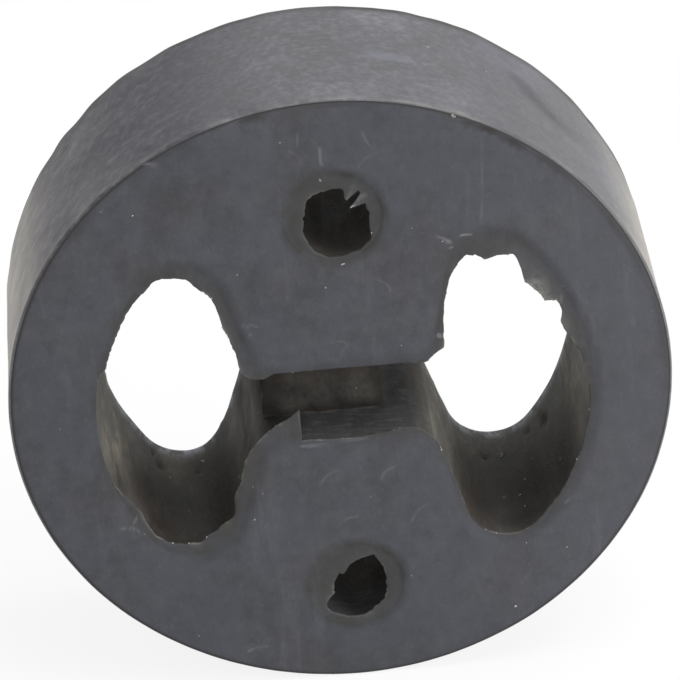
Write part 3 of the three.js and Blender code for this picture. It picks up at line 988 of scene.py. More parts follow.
def join_by_union(piece, other):
    union = piece.modifiers.new("join web", "BOOLEAN")
    union.operation = "UNION"
    union.solver = "MANIFOLD"
    union.object = other
    whole = real_mesh(piece)
    piece.modifiers.remove(union)
    if len(whole.polygons) < len(piece.data.polygons) / 2:
        raise RuntimeError("the union of the rubber and its web came out empty")
    piece.data = whole
    bpy.data.objects.remove(other)


def real_mesh(piece):
    return bpy.data.meshes.new_from_object(piece.evaluated_get(bpy.context.evaluated_depsgraph_get()))


class MakeRubber(bpy.types.Operator):
    """Build the moulded rubber disc with its openings, torn film, web and dents, and masks of wear, dirt,
    painted shade and painted highlights
    """

    bl_idname = "hanger.make_rubber"
    bl_label = "Moulded Rubber"

    def execute(self, context):
        sizes, colours = settings(context)
        shell = rubber_shell(sizes)
        materials = rubber_materials(colours)
        places = to_object(sizes, np.vstack(shell.places))
        mesh = make_mesh("moulded_rubber", places, shell.faces, shell.finish, materials)
        for name, parts in shell.marks.items():
            store(mesh, name, np.concatenate(parts))
        rubber = make_object("moulded_rubber", mesh)
        join_by_union(rubber, make_object("slot_web", web_mesh(sizes, materials)))
        wear_in(rubber.data, sizes)
        paint_masks(rubber.data, sizes)
        rubber.data.shade_smooth()
        rubber.data.set_sharp_from_angle(angle=math.radians(CREASE_DEGREES))
        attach(rubber, "root")
        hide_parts(RUBBER_NODE)
        return {"FINISHED"}


# Finds where the crumbs lie: the seen ones in their places, and others sown on the torn edges and anywhere
def crumb_seats(rubber, sizes):
    corners = [tuple(face.vertices) for face in rubber.polygons]
    tree = BVHTree.FromPolygons([vertex.co for vertex in rubber.vertices], corners)
    rays = [((x, y, -5.0), (0, 1, 0), radius) for x, y, radius in FACE_CRUMBS]
    for side, bearing, depth, radius in WALL_CRUMBS:
        turn = math.radians(bearing)
        rays.append(((*opening_middle(sizes, side), depth), (math.cos(turn), 0, math.sin(turn)), radius))
    seats = []
    for start, way, radius in rays:
        start = to_object(sizes, np.array([start]))[0]
        seats.append((*tree.ray_cast(Vector(start), Vector(way))[:2], radius))
    rng = np.random.default_rng(SOWING_SEED)
    torn = np.array([item.value for item in rubber.attributes["torn"].data])
    edge = np.flatnonzero(torn > 0.95)
    for pool, (count, low, high) in ((edge, TORN_CRUMBS), (np.arange(len(torn)), LOOSE_CRUMBS)):
        for index in rng.choice(pool, count, replace=False):
            vertex = rubber.vertices[int(index)]
            seats.append((vertex.co.copy(), vertex.normal.copy(), rng.uniform(low, high)))
    return [seat for seat in seats if seat[0] is not None]


# A Geometry Nodes tree that lays a turned, squashed lump on every seat and makes the lumps real
def crumb_tree(material):
    nodes, given, out = new_group(
        "Rubber crumbs",
        (("Geometry", GEOMETRY, None), ("Crumb size", FLOAT, None), ("Seed", INTEGER, None)),
        (("Geometry", GEOMETRY),),
        "GeometryNodeTree",
    )
    points = nodes.add("GeometryNodeMeshToPoints", {0: given["Geometry"]}).outputs[0]
    lump = nodes.add("GeometryNodeMeshIcoSphere", {"Radius": 1.0, "Subdivisions": 2}).outputs[0]
    position = nodes.add("GeometryNodeInputPosition").outputs[0]
    swell = nodes.plus(nodes.times(nodes.noise(1.4, 1.0, places=position), 1.3), 0.35)
    lumpy = nodes.add("ShaderNodeVectorMath", {0: position, "Scale": swell}, operation="SCALE").outputs[0]
    lump = nodes.add("GeometryNodeSetPosition", {"Geometry": lump, "Position": lumpy}).outputs[0]
    normal = nodes.add("GeometryNodeInputNamedAttribute", {"Name": "seat_normal"}, data_type="FLOAT_VECTOR")
    radius = nodes.add("GeometryNodeInputNamedAttribute", {"Name": "seat_radius"}, data_type="FLOAT")
    facing = {"Vector": normal.outputs[0]}
    upright = nodes.add("FunctionNodeAlignRotationToVector", facing, axis="Z").outputs[0]
    chances = []
    for low, high in (CRUMB_TURN, CRUMB_SQUASH):
        between = {"Min": low, "Max": high, "Seed": given["Seed"]}
        chances.append(nodes.add("FunctionNodeRandomValue", between, data_type="FLOAT_VECTOR").outputs[0])
    turning = {0: upright, 1: chances[0]}
    turned = nodes.add("FunctionNodeRotateRotation", turning, rotation_space="LOCAL").outputs[0]
    reach = nodes.times(radius.outputs[0], given["Crumb size"])
    scale = nodes.add("ShaderNodeVectorMath", {0: chances[1], "Scale": reach}, operation="SCALE").outputs[0]
    seated = {"Points": points, "Instance": lump, "Rotation": turned, "Scale": scale}
    laid = nodes.add("GeometryNodeInstanceOnPoints", seated).outputs[0]
    real = nodes.add("GeometryNodeRealizeInstances", {0: laid}).outputs[0]
    dressed = nodes.add("GeometryNodeSetMaterial", {"Geometry": real, "Material": material}).outputs[0]
    nodes.feed(out[0], dressed)
    return nodes.tree


class ScatterCrumbs(bpy.types.Operator):
    """Scatter pale crumbs of torn rubber and dust over the moulded rubber and along its torn edges"""

    bl_idname = "hanger.scatter_crumbs"
    bl_label = "Rubber Crumbs"

    def execute(self, context):
        sizes, colours = settings(context)
        rubber = bpy.data.objects.get("moulded_rubber")
        if rubber is None:
            raise RuntimeError("the moulded rubber has to be built before its crumbs")
        seats = crumb_seats(rubber.data, sizes)
        mesh = bpy.data.meshes.new("crumb seats")
        mesh.from_pydata([seat[0] for seat in seats], [], [])
        normals = mesh.attributes.new("seat_normal", "FLOAT_VECTOR", "POINT")
        normals.data.foreach_set("vector", [value for seat in seats for value in seat[1]])
        store(mesh, "seat_radius", [seat[2] * MM for seat in seats])
        crumbs = make_object("rubber_crumbs", mesh)
        scatter = crumbs.modifiers.new("scatter", "NODES")
        scatter.node_group = crumb_tree(crumb_material(colours))
        given = {"Crumb size": sizes.crumb_size, "Seed": SCATTER_SEED}
        for item in scatter.node_group.interface.items_tree:
            if item.name in given:
                scatter[item.identifier] = given[item.name]
        whole = real_mesh(crumbs)
        crumbs.modifiers.remove(scatter)
        if not whole.polygons:
            raise RuntimeError("no crumbs were made")
        crumbs.data = whole
        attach(crumbs, "root")
        return {"FINISHED"}


# The nodes of one tree: a plain value is set on its socket, and another node's output is linked to it
class Nodes:
    def __init__(self, tree, groups=None):
        self.tree = tree
        self.groups = groups

    def add(self, kind, inputs=None, **options):
        made = self.tree.nodes.new(kind)
        for name, value in options.items():
            setattr(made, name, value)
        for key, value in (inputs or {}).items():
            self.feed(made.inputs[key], value)
        return made

    def feed(self, socket, value):
        if isinstance(value, bpy.types.NodeSocket):
            self.tree.links.new(value, socket)
        elif socket.type == "RGBA" and len(value) == 3:
            socket.default_value = (*value, 1)
        else:
            socket.default_value = value

    def calculate(self, operation, first, second=0.0, clamp=False):
        made = self.add("ShaderNodeMath", {0: first, 1: second}, operation=operation, use_clamp=clamp)
        return made.outputs[0]

    def times(self, first, *others):
        for other in others:
            first = self.calculate("MULTIPLY", first, other)
        return first

    def plus(self, first, second):
        return self.calculate("ADD", first, second)

    def greater(self, first, second):
        return self.calculate("MAXIMUM", first, second)

    def between(self, value, low, high, to_low=0.0, to_high=1.0):
        inputs = {"Value": value, "From Min": low, "From Max": high, "To Min": to_low, "To Max": to_high}
        return self.add("ShaderNodeMapRange", inputs, interpolation_type="SMOOTHSTEP").outputs["Result"]

    def mix(self, share, first, second):
        return self.add("ShaderNodeMix", {0: share, 6: first, 7: second}, data_type="RGBA").outputs[2]

    def places(self, stretch=None):
        places = self.add("ShaderNodeTexCoord").outputs["Object"]
        if stretch is None:
            return places
        return self.add("ShaderNodeVectorMath", {0: places, 1: stretch}, operation="MULTIPLY").outputs[0]

    def across(self):
        return self.add("ShaderNodeSeparateXYZ", {0: self.places()}).outputs["X"]

    def noise(self, scale, detail=3.0, roughness=0.55, places=None):
        if places is None:
            places = self.places()
        inputs = {"Vector": places, "Scale": scale, "Detail": detail, "Roughness": roughness}
        return self.add("ShaderNodeTexNoise", inputs).outputs[0]

    def mask(self, name):
        return self.add("ShaderNodeAttribute", attribute_name=name).outputs["Fac"]

    # Places a shared group with its own values, and gives back its mask, or all its outputs if it has none
    def use(self, group, **inputs):
        made = self.add("ShaderNodeGroup", node_tree=self.groups[group])
        for key, value in inputs.items():
            self.feed(made.inputs[key.replace("_", " ").capitalize()], value)
        return made.outputs.get("Mask") or made.outputs


def new_group(name, inputs, outputs, kind="ShaderNodeTree"):
    group = bpy.data.node_groups.new(name, kind)
    for label, socket_kind, default in inputs:
        socket = group.interface.new_socket(label, in_out="INPUT", socket_type=socket_kind)
        if default is not None:
            socket.default_value = default
    for label, socket_kind in outputs:
        group.interface.new_socket(label, in_out="OUTPUT", socket_type=socket_kind)
    nodes = Nodes(group)
    return nodes, nodes.add("NodeGroupInput").outputs, nodes.add("NodeGroupOutput").inputs


# The matt skin of old moulded rubber: fine grain for the bump and soft cloudy mottling for the colour
def grain_group():
    nodes, given, out = new_group(
        "Rubber grain",
        (("Grain scale", FLOAT, 2600.0), ("Cloud scale", FLOAT, 160.0), ("Stretch", VECTOR, (1, 1, 1))),
        (("Height", FLOAT), ("Clouds", FLOAT), ("Flecks", FLOAT)),
    )
    places = nodes.places(given["Stretch"])
    grain = nodes.noise(given["Grain scale"], 4.0, 0.65, places)
    pebbles = nodes.noise(nodes.times(given["Grain scale"], 0.3), 2.0, places=places)
    broad = nodes.noise(given["Cloud scale"], 5.0, 0.62, places)
    close = nodes.noise(nodes.times(given["Cloud scale"], 4.7), 4.0, 0.6, places)
    clouds = nodes.plus(nodes.times(broad, 0.62), nodes.times(close, 0.38))
    nodes.feed(out["Height"], nodes.plus(nodes.times(grain, 0.55), nodes.times(pebbles, 0.45)))
    nodes.feed(out["Clouds"], nodes.between(clouds, 0.3, 0.7))
    nodes.feed(out["Flecks"], nodes.between(grain, 0.56, 0.74))
    return nodes.tree


# Pale dust specks: a few cells in a cloud of them hold a speck, and each speck has its own size
def dust_group():
    nodes, given, out = new_group(
        "Dust specks",
        (("Speck scale", FLOAT, 500.0), ("Coverage", FLOAT, 0.1), ("Speck size", FLOAT, 0.18)),
        (("Mask", FLOAT),),
    )
    wobble = nodes.noise(3000.0, 2.0)
    cells = nodes.add("ShaderNodeTexVoronoi", {"Vector": nodes.places(), "Scale": given["Speck scale"]})
    picked = nodes.add("ShaderNodeSeparateColor", {0: cells.outputs["Color"]})
    chosen = nodes.calculate("LESS_THAN", picked.outputs[0], given["Coverage"])
    size = nodes.times(given["Speck size"], nodes.plus(picked.outputs[1], wobble))
    in_speck = nodes.between(nodes.calculate("SUBTRACT", size, cells.outputs["Distance"]), 0.0, 0.06)
    nodes.feed(out["Mask"], nodes.times(chosen, in_speck))
    return nodes.tree


# Streaks: noise drawn out along one way, cut to the strongest lines
def streak_group():
    nodes, given, out = new_group(
        "Streaks",
        (
            ("Stretch", VECTOR, (1, 1, 1)), ("Streak scale", FLOAT, 400.0),
            ("Low", FLOAT, 0.45), ("High", FLOAT, 0.7),
        ),
        (("Mask", FLOAT),),
    )
    lines = nodes.noise(given["Streak scale"], 5.0, 0.6, nodes.places(given["Stretch"]))
    inputs = {"Value": lines, "From Min": given["Low"], "From Max": given["High"]}
    nodes.feed(out["Mask"], nodes.add("ShaderNodeMapRange", inputs).outputs["Result"])
    return nodes.tree


# The pale ragged line of torn film, partly the torn rubber's own paleness and partly a painted highlight on
# its edge, broken up so that it comes and goes
def torn_group():
    nodes, given, out = new_group(
        "Torn edge",
        (("Torn", FLOAT, 0.0), ("Break up", FLOAT, 420.0)),
        (("Mask", FLOAT),),
    )
    shown = nodes.between(nodes.noise(given["Break up"], 3.0), 0.45, 0.62, 0.06, 1.0)
    nodes.feed(out["Mask"], nodes.calculate("MULTIPLY", shown, given["Torn"], True))
    return nodes.tree


# A material in the making: each layer of colour goes over the ones before it, by the product of its shares
class Coat(Nodes):
    def __init__(self, name, groups=None):
        self.material = bpy.data.materials.new(name)
        self.material.use_nodes = True
        super().__init__(self.material.node_tree, groups)
        self.tree.nodes.clear()
        self.shader = self.add("ShaderNodeBsdfPrincipled")
        self.output = self.add("ShaderNodeOutputMaterial", {"Surface": self.shader.outputs[0]})

    def begin(self, share, dark, light):
        self.colour = self.mix(share, dark, light)

    def lay(self, colour, *shares):
        self.colour = self.mix(self.times(*shares), self.colour, colour)

    def finish(self, roughness, height, bump_depth, gloss):
        bump = self.add("ShaderNodeBump", {"Strength": 0.55, "Distance": bump_depth, "Height": height})
        looks = {"Base Color": self.colour, "Roughness": roughness, "Normal": bump.outputs[0], **gloss}
        for name, value in looks.items():
            self.feed(self.shader.inputs[name], value)
        return self.material


def face_material(colours, groups):
    coat = Coat("Face rubber", groups)
    grain = coat.use("grain", grain_scale=2300.0, cloud_scale=170.0, stretch=(1.1, 1.0, 0.75))
    coat.begin(grain["Clouds"], colours.face_dark, colours.face_light)
    broad = coat.noise(95.0, 5.0, 0.6)
    coat.lay(colours.face_blue, coat.between(broad, 0.42, 0.62, 0.0, 0.55))
    coat.lay(colours.face_brown, coat.between(broad, 0.5, 0.3, 0.0, 0.5))
    mottled = coat.noise(560.0, 5.0, 0.68)
    coat.lay(colours.face_pale_and_right_light, coat.between(mottled, 0.46, 0.66, 0.0, 0.3))
    coat.lay(colours.face_dark, coat.between(mottled, 0.46, 0.32, 0.0, 0.45))
    # Painted light: the face is painted lighter towards its right side
    coat.lay(colours.face_pale_and_right_light, coat.between(coat.across(), *FACE_RIGHT_LIGHT_SPAN, 0.0, 0.32))
    coat.lay(colours.dust, grain["Flecks"], 0.05)
    wiped = coat.use("streak", stretch=(1.0, 1.0, 0.12), streak_scale=420.0, low=0.58, high=0.8)
    coat.lay(colours.dust, wiped, 0.1)
    broken = coat.noise(300.0, 3.0)
    patches = coat.noise(640.0, 4.0, 0.6)
    coat.lay(colours.film_skin, coat.mask("film"), coat.between(patches, 0.38, 0.62, 0.35, 0.95))
    # Painted shade in the recessed band of every mouth
    coat.lay(colours.mouth_band_shade, coat.mask("mouth"), coat.between(broken, 0.36, 0.62, 0.35, 0.85))
    pale = coat.between(patches, 0.42, 0.6, 0.08, 0.6)
    coat.lay(colours.frayed_film, coat.calculate("MULTIPLY", coat.mask("frayed"), pale, True))
    # Pale torn edges: partly the torn rubber's own colour, partly a painted highlight
    coat.lay(colours.torn_film_pale_and_highlight, coat.use("torn", torn=coat.mask("torn")), 0.4)
    # Painted shade: a dark line in the groove along the face's front edge, joined with the dark chipped
    # places
    edge_groove_shade = coat.times(coat.greater(coat.times(coat.mask("edge"), -1.0), 0.0), 0.88)
    coat.lay(colours.dark_shade_and_marks, coat.greater(edge_groove_shade, coat.mask("smear")))
    coat.lay(colours.dust, coat.mask("scuff"), coat.between(broken, 0.38, 0.62, 0.2, 0.8))
    coat.lay(colours.dust, coat.use("dust", speck_scale=420.0, coverage=0.012, speck_size=0.14), 0.25)
    roughness = coat.between(grain["Clouds"], 0.0, 1.0, 0.62, 0.78)
    return coat.finish(roughness, grain["Height"], FACE_BUMP, FACE_GLOSS)


# The rim is coloured lighter than the face: partly dust, partly painted light from above
def rim_material(colours, groups):
    coat = Coat("Rim rubber", groups)
    grain = coat.use("grain", grain_scale=2200.0, cloud_scale=150.0, stretch=(0.8, 1.0, 0.8))
    coat.begin(grain["Clouds"], colours.rim_dark, colours.rim_light)
    lengthwise = coat.use("streak", stretch=(0.2, 1.5, 0.2), streak_scale=1100.0, low=0.44, high=0.74)
    coat.lay(colours.dust, lengthwise, 0.06)
    close = coat.noise(1500.0, 4.0, 0.6)
    coat.lay(colours.rim_dark, coat.between(close, 0.42, 0.62, 0.0, 0.4))
    coat.lay(colours.dust, coat.between(close, 0.5, 0.34, 0.0, 0.1))
    blotches = coat.noise(210.0, 5.0, 0.62)
    coat.lay(colours.rim_dark, coat.between(blotches, 0.38, 0.66, 0.0, 0.3))
    across = coat.across()
    # Painted shade: the rim's upper left is painted dark, and its right a little darker, for how the light
    # falls there; the crossing scratches lie in the same left part
    left_shade_part = coat.times(*(coat.between(across, *span) for span in RIM_SHADE_LEFT_SPANS))
    right_shade_part = coat.times(*(coat.between(across, *span) for span in RIM_SHADE_RIGHT_SPANS))
    coat.lay(colours.rim_dark, right_shade_part, 0.5)
    coat.lay(colours.rim_shade, left_shade_part, coat.between(blotches, 0.3, 0.7, 1.0, 0.8))
    crossing = coat.use("streak", stretch=(0.8, 0.8, 0.8), streak_scale=1300.0, low=0.46, high=0.72)
    coat.lay(colours.dust, crossing, left_shade_part, 0.15)
    coat.lay(colours.smear, coat.mask("smear"), coat.between(blotches, 0.35, 0.65, 0.95, 0.6))
    coat.lay(colours.rim_bloom, coat.mask("bloom"), coat.between(blotches, 0.35, 0.6, 0.2, 0.55))
    # Beige towards the far sides, strongest where the rim is seen edge on: partly dust, partly a painted
    # grazing sheen
    grazing = coat.add("ShaderNodeLayerWeight", {"Blend": 0.5}).outputs["Facing"]
    far_end_sheen = coat.between(coat.calculate("ABSOLUTE", across), *RIM_DUST_AND_SHEEN_SPAN)
    far_end_sheen = coat.times(far_end_sheen, coat.between(grazing, 0.5, 0.9, 0.05, 1.0))
    coat.lay(colours.dry_dust_and_highlight, far_end_sheen, coat.between(blotches, 0.35, 0.62, 0.4, 0.85))
    broken = coat.noise(260.0, 3.0)
    # Painted highlight: a pale line along the ridge of the front edge
    edge_ridge_highlight = coat.greater(coat.mask("edge"), 0.0)
    coat.lay(colours.dry_dust_and_highlight, edge_ridge_highlight, coat.between(broken, 0.42, 0.68, 0.04, 0.28))
    coat.lay(colours.dark_shade_and_marks, coat.mask("rear"), coat.between(broken, 0.35, 0.6, 0.5, 0.95))
    coat.lay(colours.dust, coat.use("dust", speck_scale=560.0, coverage=0.03, speck_size=0.13), 0.4)
    roughness = coat.between(grain["Clouds"], 0.0, 1.0, 0.48, 0.64)
    return coat.finish(roughness, grain["Height"], RIM_BUMP, RIM_GLOSS)


def wall_material(colours, groups):
    coat = Coat("Opening wall rubber", groups)
    grain = coat.use("grain", grain_scale=1700.0, cloud_scale=260.0, stretch=(1.0, 0.4, 1.0))
    coat.begin(grain["Clouds"], colours.wall_dark, colours.wall_light)
    coat.lay(colours.soil, grain["Flecks"], 0.22)
    drawn = coat.use("streak", stretch=(1.0, 0.2, 1.0), streak_scale=420.0, low=0.34, high=0.66)
    blotches = coat.noise(480.0, 6.0, 0.7, coat.places((1.0, 0.5, 1.0)))
    blotches = coat.between(blotches, 0.38, 0.62, 0.2, 1.0)
    streaks = coat.times(coat.between(drawn, 0.0, 1.0, 0.25, 1.0), blotches)
    coat.lay(colours.soil, coat.mask("soil"), streaks)
    coat.lay(colours.rust, coat.mask("rust"), coat.between(blotches, 0.2, 0.9, 0.35, 0.85))
    slate = coat.mask("slate")
    coat.lay(colours.slot_floor, slate, 0.8)
    lines = coat.use("streak", stretch=(0.4, 1.6, 0.3), streak_scale=1300.0, low=0.5, high=0.72)
    coat.lay(colours.dust, lines, slate, 0.2)
    # Painted shade in the openings' hollows and pits, on the web, behind it and in the pin holes
    coat.lay(colours.dark_shade_and_marks, coat.mask("painted_shade"), 0.85)
    # Painted highlight: a pale bluish line along the openings' rear edges
    coat.lay(colours.rear_edge_highlight, coat.mask("rear"), coat.between(blotches, 0.3, 0.9, 0.12, 0.65))
    coat.lay(colours.dust, coat.use("dust", speck_scale=700.0, coverage=0.05, speck_size=0.13), 0.3)
    height = coat.plus(grain["Height"], coat.times(blotches, 0.2))
    return coat.finish(coat.between(grain["Clouds"], 0.0, 1.0, 0.6, 0.8), height, WALL_BUMP, WALL_GLOSS)


def crumb_material(colours):
    coat = Coat("Rubber crumb")
    coat.begin(coat.between(coat.noise(500.0, 2.0), 0.4, 0.6), colours.crumb_dark, colours.crumb_light)
    return coat.finish(0.8, coat.noise(6000.0, 3.0), CRUMB_BUMP, FACE_GLOSS)


def rubber_materials(colours):
    groups = {"grain": grain_group(), "dust": dust_group(), "streak": streak_group(), "torn": torn_group()}
    return [face_material(colours, groups), rim_material(colours, groups), wall_material(colours, groups)]


class MakeStage(bpy.types.Operator):
    """Build the pale floor, the soft studio light, the white surroundings and the camera"""

    bl_idname = "hanger.make_stage"
    bl_label = "Floor, Light and Camera"

    def execute(self, context):
        stage = context.scene.hanger_stage
        make_floor(stage)
        make_world(context, stage)
        make_lamp("overhead light", stage.overhead_place, stage.overhead_size, stage.overhead_power)
        make_lamp("side light", stage.side_place, stage.side_size, stage.side_power)
        make_camera(context, stage)
        context.scene.view_settings.view_transform = "Standard"
        return {"FINISHED"}


# White for what the camera and reflections see, and the studio's own level for what lights the object
def seen_directly(nodes):
    path = nodes.add("ShaderNodeLightPath").outputs
    seen = nodes.greater(path["Is Camera Ray"], path["Is Glossy Ray"])
    return nodes.greater(seen, path["Is Transmission Ray"])


def make_floor(stage):
    reach = stage.floor_reach
    low = cad_box[0][2]
    corners = [(-reach, -reach, low), (reach, -reach, low), (reach, reach, low), (-reach, reach, low)]
    mesh = bpy.data.meshes.new("floor")
    mesh.from_pydata(corners, [], [(0, 1, 2, 3)])
    coat = Coat("Pale floor")
    looks = {"Base Color": tuple(stage.floor_colour), "Roughness": 0.9, "Specular IOR Level": 0.1}
    for name, value in looks.items():
        coat.feed(coat.shader.inputs[name], value)
    white = coat.add("ShaderNodeEmission", {"Color": (1, 1, 1), "Strength": 1.0}).outputs[0]
    share = coat.times(seen_directly(coat), 1 - stage.shadow_strength)
    mixed = coat.add("ShaderNodeMixShader", {0: share, 1: coat.shader.outputs[0], 2: white})
    coat.feed(coat.output.inputs["Surface"], mixed.outputs[0])
    mesh.materials.append(coat.material)
    make_object("floor", mesh)


def make_world(context, stage):
    world = bpy.data.worlds.new("White surroundings")
    world.use_nodes = True
    context.scene.world = world
    nodes = Nodes(world.node_tree)
    nodes.tree.nodes.clear()
    level = nodes.between(seen_directly(nodes), 0.0, 1.0, stage.surroundings_level, 1.0)
    background = nodes.add("ShaderNodeBackground", {"Color": (1, 1, 1), "Strength": level})
    nodes.add("ShaderNodeOutputWorld", {"Surface": background.outputs[0]})


def make_lamp(name, place, size, power):
    lamp = bpy.data.lights.new(name, "AREA")
    lamp.shape = "DISK"
    lamp.size = size
    lamp.energy = power
    made = make_object(name, lamp)
    made.location = place
    middle = Vector((cad_box[0][i] + cad_box[1][i] for i in range(3))) / 2
    made.rotation_euler = (middle - Vector(place)).to_track_quat("-Z", "Y").to_euler()


def make_camera(context, stage):
    data = bpy.data.cameras.new("camera")
    data.lens = stage.camera_lens
    data.sensor_width = 36
    data.clip_start = 0.01
    camera = make_object("camera", data)
    place, aim = Vector(stage.camera_place), Vector(stage.camera_aim)
    forward = (aim - place).normalized()
    level_right = forward.cross(Vector((0, 0, 1))).normalized()
    level_up = level_right.cross(forward)
    up = level_up * math.cos(stage.camera_roll) + level_right * math.sin(stage.camera_roll)
    turn = Matrix((forward.cross(up), up, -forward)).transposed().to_4x4()
    camera.matrix_world = Matrix.Translation(place) @ turn
    context.scene.camera = camera


def length(name, description, default):
    return bpy.props.FloatProperty(
        name=name, description=description, default=default, unit="LENGTH", precision=4
    )


def angle(name, description, degrees):
    turn = math.radians(degrees)
    return bpy.props.FloatProperty(name=name, description=description, default=turn, unit="ROTATION")


def level(name, description, default, **kind):
    return bpy.props.FloatProperty(name=name, description=description, default=default, min=0, **kind)


def colour(name, description, default):
    return bpy.props.FloatVectorProperty(
        name=name, description=description, default=default, subtype="COLOR", size=3, min=0, max=1
    )


def place(name, description, default):
    return bpy.props.FloatVectorProperty(
        name=name, description=description, default=default, subtype="XYZ", unit="LENGTH"
    )


class HangerSizes(bpy.types.PropertyGroup):
    disc_diameter: length("Disc Diameter", "Diameter of the rubber disc", 0.065)
    disc_thickness: length("Disc Thickness", "Thickness from the front face to the rear face", 0.0212)
    rear_rounding: length("Rear Rounding", "Radius of every edge on the rear side", 0.0009)
    pattern_shift_right: length(
        "Pattern Shift Right", "How far the openings sit right of the disc's centre", 0.0003
    )
    pattern_shift_down: length(
        "Pattern Shift Down", "How far the openings sit below the disc's centre", 0.0009
    )
    slot_height: length("Slot Height", "Gap between the tips of the two bosses", 0.0082)
    boss_tip_width: length("Boss Tip Width", "Width of each boss at its tip", 0.0165)
    boss_corner_radius: length("Boss Corner Radius", "Rounding of the bosses' corners", 0.0022)
    opening_reach: length("Opening Reach", "Radius of the openings' outer wall", 0.0244)
    opening_end_radius: length(
        "Opening End Radius", "Rounding of the openings' upper and lower ends", 0.0046
    )
    lower_left_end_radius: length(
        "Lower Left End Radius", "Rounding of the left opening's lower end", 0.0052
    )
    opening_middle: length(
        "Opening Middle", "Distance of an opening's middle from the pattern's centre", 0.0156
    )
    flank_lean: angle("Flank Lean", "Lean of the upper left and lower right boss flanks", 18)
    upper_right_flank_lean: angle("Upper Right Flank Lean", "Lean of the upper boss's right flank", 12)
    lower_left_flank_lean: angle("Lower Left Flank Lean", "Lean of the lower boss's left flank", 17)
    pin_hole_diameter: length("Pin Hole Diameter", "Diameter of the two pin holes", 0.0094)
    pin_hole_spacing: length("Pin Hole Spacing", "Distance between the centres of the pin holes", 0.0416)
    tear_raggedness: length("Tear Raggedness", "How ragged the torn film's edge is", 0.00011)
    web_thickness: length("Web Thickness", "Thickness of the web in the slot", 0.0006)
    web_depth: length("Web Depth", "Depth of the web behind the front face", 0.006)
    web_left_edge: length("Web Left Edge", "How far the web reaches left of the slot's middle", 0.008)
    web_right_edge: length("Web Right Edge", "How far the web reaches right of the slot's middle", 0.004)
    crumb_size: level("Crumb Size", "Factor on the size of every crumb", 1.0, subtype="FACTOR")
    surface_waviness: length("Surface Waviness", "Height of the soft waves all over the rubber", 0.00004)
    wall_roughness: length("Wall Roughness", "Height of the drawn marks on the openings' walls", 0.00005)


class HangerColours(bpy.types.PropertyGroup):
    face_dark: colour("Face, Dark", "Darker patches of the flat faces", (0.032, 0.033, 0.039))
    face_light: colour("Face, Light", "Lighter patches of the flat faces", (0.0615, 0.063, 0.0725))
    # The rim's colours are lighter than the face's: partly dust, partly painted light from above
    rim_dark: colour("Rim, Dark", "Darker patches of the rim", (0.06, 0.06, 0.067))
    rim_light: colour("Rim, Light", "Lighter patches of the rim", (0.144, 0.146, 0.16))
    face_blue: colour("Face, Bluish", "Broad bluish patches of the flat faces", (0.047, 0.051, 0.064))
    face_brown: colour("Face, Brownish", "Broad brownish patches of the flat faces", (0.043, 0.041, 0.044))
    # Lighter mottling of the flat faces, and the painted light on their right side
    face_pale_and_right_light: colour("Face, Right", "The lighter right side of the flat faces", (0.07, 0.07, 0.08))
    wall_dark: colour("Wall, Dark", "Darker patches of the openings' walls", (0.041, 0.0405, 0.037))
    wall_light: colour("Wall, Light", "Lighter patches of the openings' walls", (0.108, 0.106, 0.096))
    rust: colour("Rust", "Reddish brown dirt near the mouths", (0.052, 0.034, 0.028))
    film_skin: colour("Film Skin", "The greyish brown skin of the film", (0.036, 0.035, 0.0335))
    frayed_film: colour("Frayed Film", "Film that is frayed and pale over its width", (0.3, 0.3, 0.29))
    smear: colour("Smear", "The dark smear on the rim", (0.03, 0.03, 0.036))
    # Painted shade on the rim's upper left part
    rim_shade: colour("Rim, Shaded Left", "The rim's dark upper left part", (0.028, 0.027, 0.037))
    slot_floor: colour("Slot Floor", "The cleaner slate floor of the slot", (0.057, 0.0585, 0.061))
    # Painted highlight along the openings' rear edges
    rear_edge_highlight: colour("Rear Edge", "The pale bloom along the openings' rear edges", (0.42, 0.44, 0.49))
    rim_bloom: colour("Rim Bloom", "Pale bluish patches on the rim", (0.17, 0.175, 0.23))
    # Beige dust and painted grazing sheen towards the rim's far sides, and the painted highlight along the
    # front edge
    dry_dust_and_highlight: colour("Dry Dust", "Beige dust towards the rim's far sides", (0.31, 0.29, 0.25))
    # Painted shade in the recessed band inside every mouth
    mouth_band_shade: colour("Mouth Band", "The recessed band inside every mouth", (0.022, 0.0215, 0.019))
    crumb_dark: colour("Crumb, Dark", "Darker crumbs", (0.15, 0.145, 0.13))
    crumb_light: colour("Crumb, Light", "Lighter crumbs", (0.4, 0.39, 0.35))
    # The torn film's own paleness, and a painted highlight on its edge
    torn_film_pale_and_highlight: colour("Torn Film", "The pale torn edges of the film", (0.3, 0.28, 0.22))
    soil: colour("Soil", "Dried soil streaks on the openings' walls", (0.285, 0.25, 0.195))
    # Painted shade in the front edge's groove, on the walls and in the pin holes, and the dark chips and the
    # line along the rim's rear edge
    dark_shade_and_marks: colour("Crease", "Dark creases, smears and damp places", (0.016, 0.0125, 0.011))
    dust: colour("Dust", "Dust specks, scuffs and pale streaks", (0.3, 0.3, 0.32))


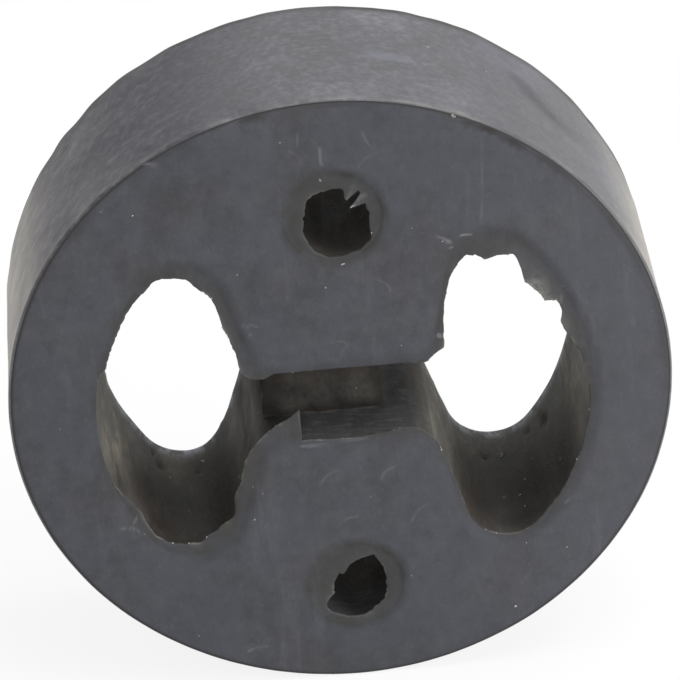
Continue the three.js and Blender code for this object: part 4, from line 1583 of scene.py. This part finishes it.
class HangerStage(bpy.types.PropertyGroup):
    floor_colour: colour("Floor Colour", "Colour of the plain floor", (0.82, 0.82, 0.82))
    floor_reach: length("Floor Reach", "Half the width of the floor", 3.0)
    shadow_strength: level("Shadow Strength", "How much of the floor's own shading shows", 0.14, max=1)
    surroundings_level: level(
        "Surroundings Level", "How strongly the white surroundings light the object", 0.7
    )
    overhead_place: place("Overhead Light Place", "Place of the large soft light above", (0.22, -0.05, 0.62))
    overhead_size: length("Overhead Light Size", "Diameter of the overhead light", 0.5)
    overhead_power: level("Overhead Light Power", "Power of the overhead light", 3.0, unit="POWER")
    side_place: place("Side Light Place", "Place of the soft light at the side", (0.23, -0.17, 0.07))
    side_size: length("Side Light Size", "Diameter of the side light", 0.16)
    side_power: level("Side Light Power", "Power of the side light", 0.5, unit="POWER")
    camera_place: place("Camera Place", "Place of the camera", (-0.01496, -0.39495, 0.20495))
    camera_aim: place("Camera Aim", "Point that the camera looks at", (-0.00002, -0.00783, -0.015))
    camera_roll: angle("Camera Roll", "How far the camera leans to the right", 3.67)
    camera_lens: level("Camera Lens", "Focal length of the camera", 241.4, unit="CAMERA")


class HangerPanel(bpy.types.Panel):
    bl_idname = "VIEW3D_PT_hanger"
    bl_label = "Rubber Hanger"
    bl_space_type = "VIEW_3D"
    bl_region_type = "UI"
    bl_category = "Hanger"

    def draw(self, context):
        for step in STEPS:
            self.layout.operator(step.bl_idname)
        for group in (context.scene.hanger_sizes, context.scene.hanger_colours, context.scene.hanger_stage):
            box = self.layout.box()
            for name in group.__annotations__:
                box.prop(group, name)


STEPS = (MakeRubber, ScatterCrumbs, MakeStage)
CLASSES = (HangerSizes, HangerColours, HangerStage, *STEPS, HangerPanel)


def register():
    for made in CLASSES:
        bpy.utils.register_class(made)
    bpy.types.Scene.hanger_sizes = bpy.props.PointerProperty(type=HangerSizes)
    bpy.types.Scene.hanger_colours = bpy.props.PointerProperty(type=HangerColours)
    bpy.types.Scene.hanger_stage = bpy.props.PointerProperty(type=HangerStage)


def unregister():
    del bpy.types.Scene.hanger_stage
    del bpy.types.Scene.hanger_colours
    del bpy.types.Scene.hanger_sizes
    for made in reversed(CLASSES):
        bpy.utils.unregister_class(made)


def main():
    register()
    bpy.ops.hanger.make_rubber()
    bpy.ops.hanger.scatter_crumbs()
    bpy.ops.hanger.make_stage()


if __name__ == "__main__":
    main()
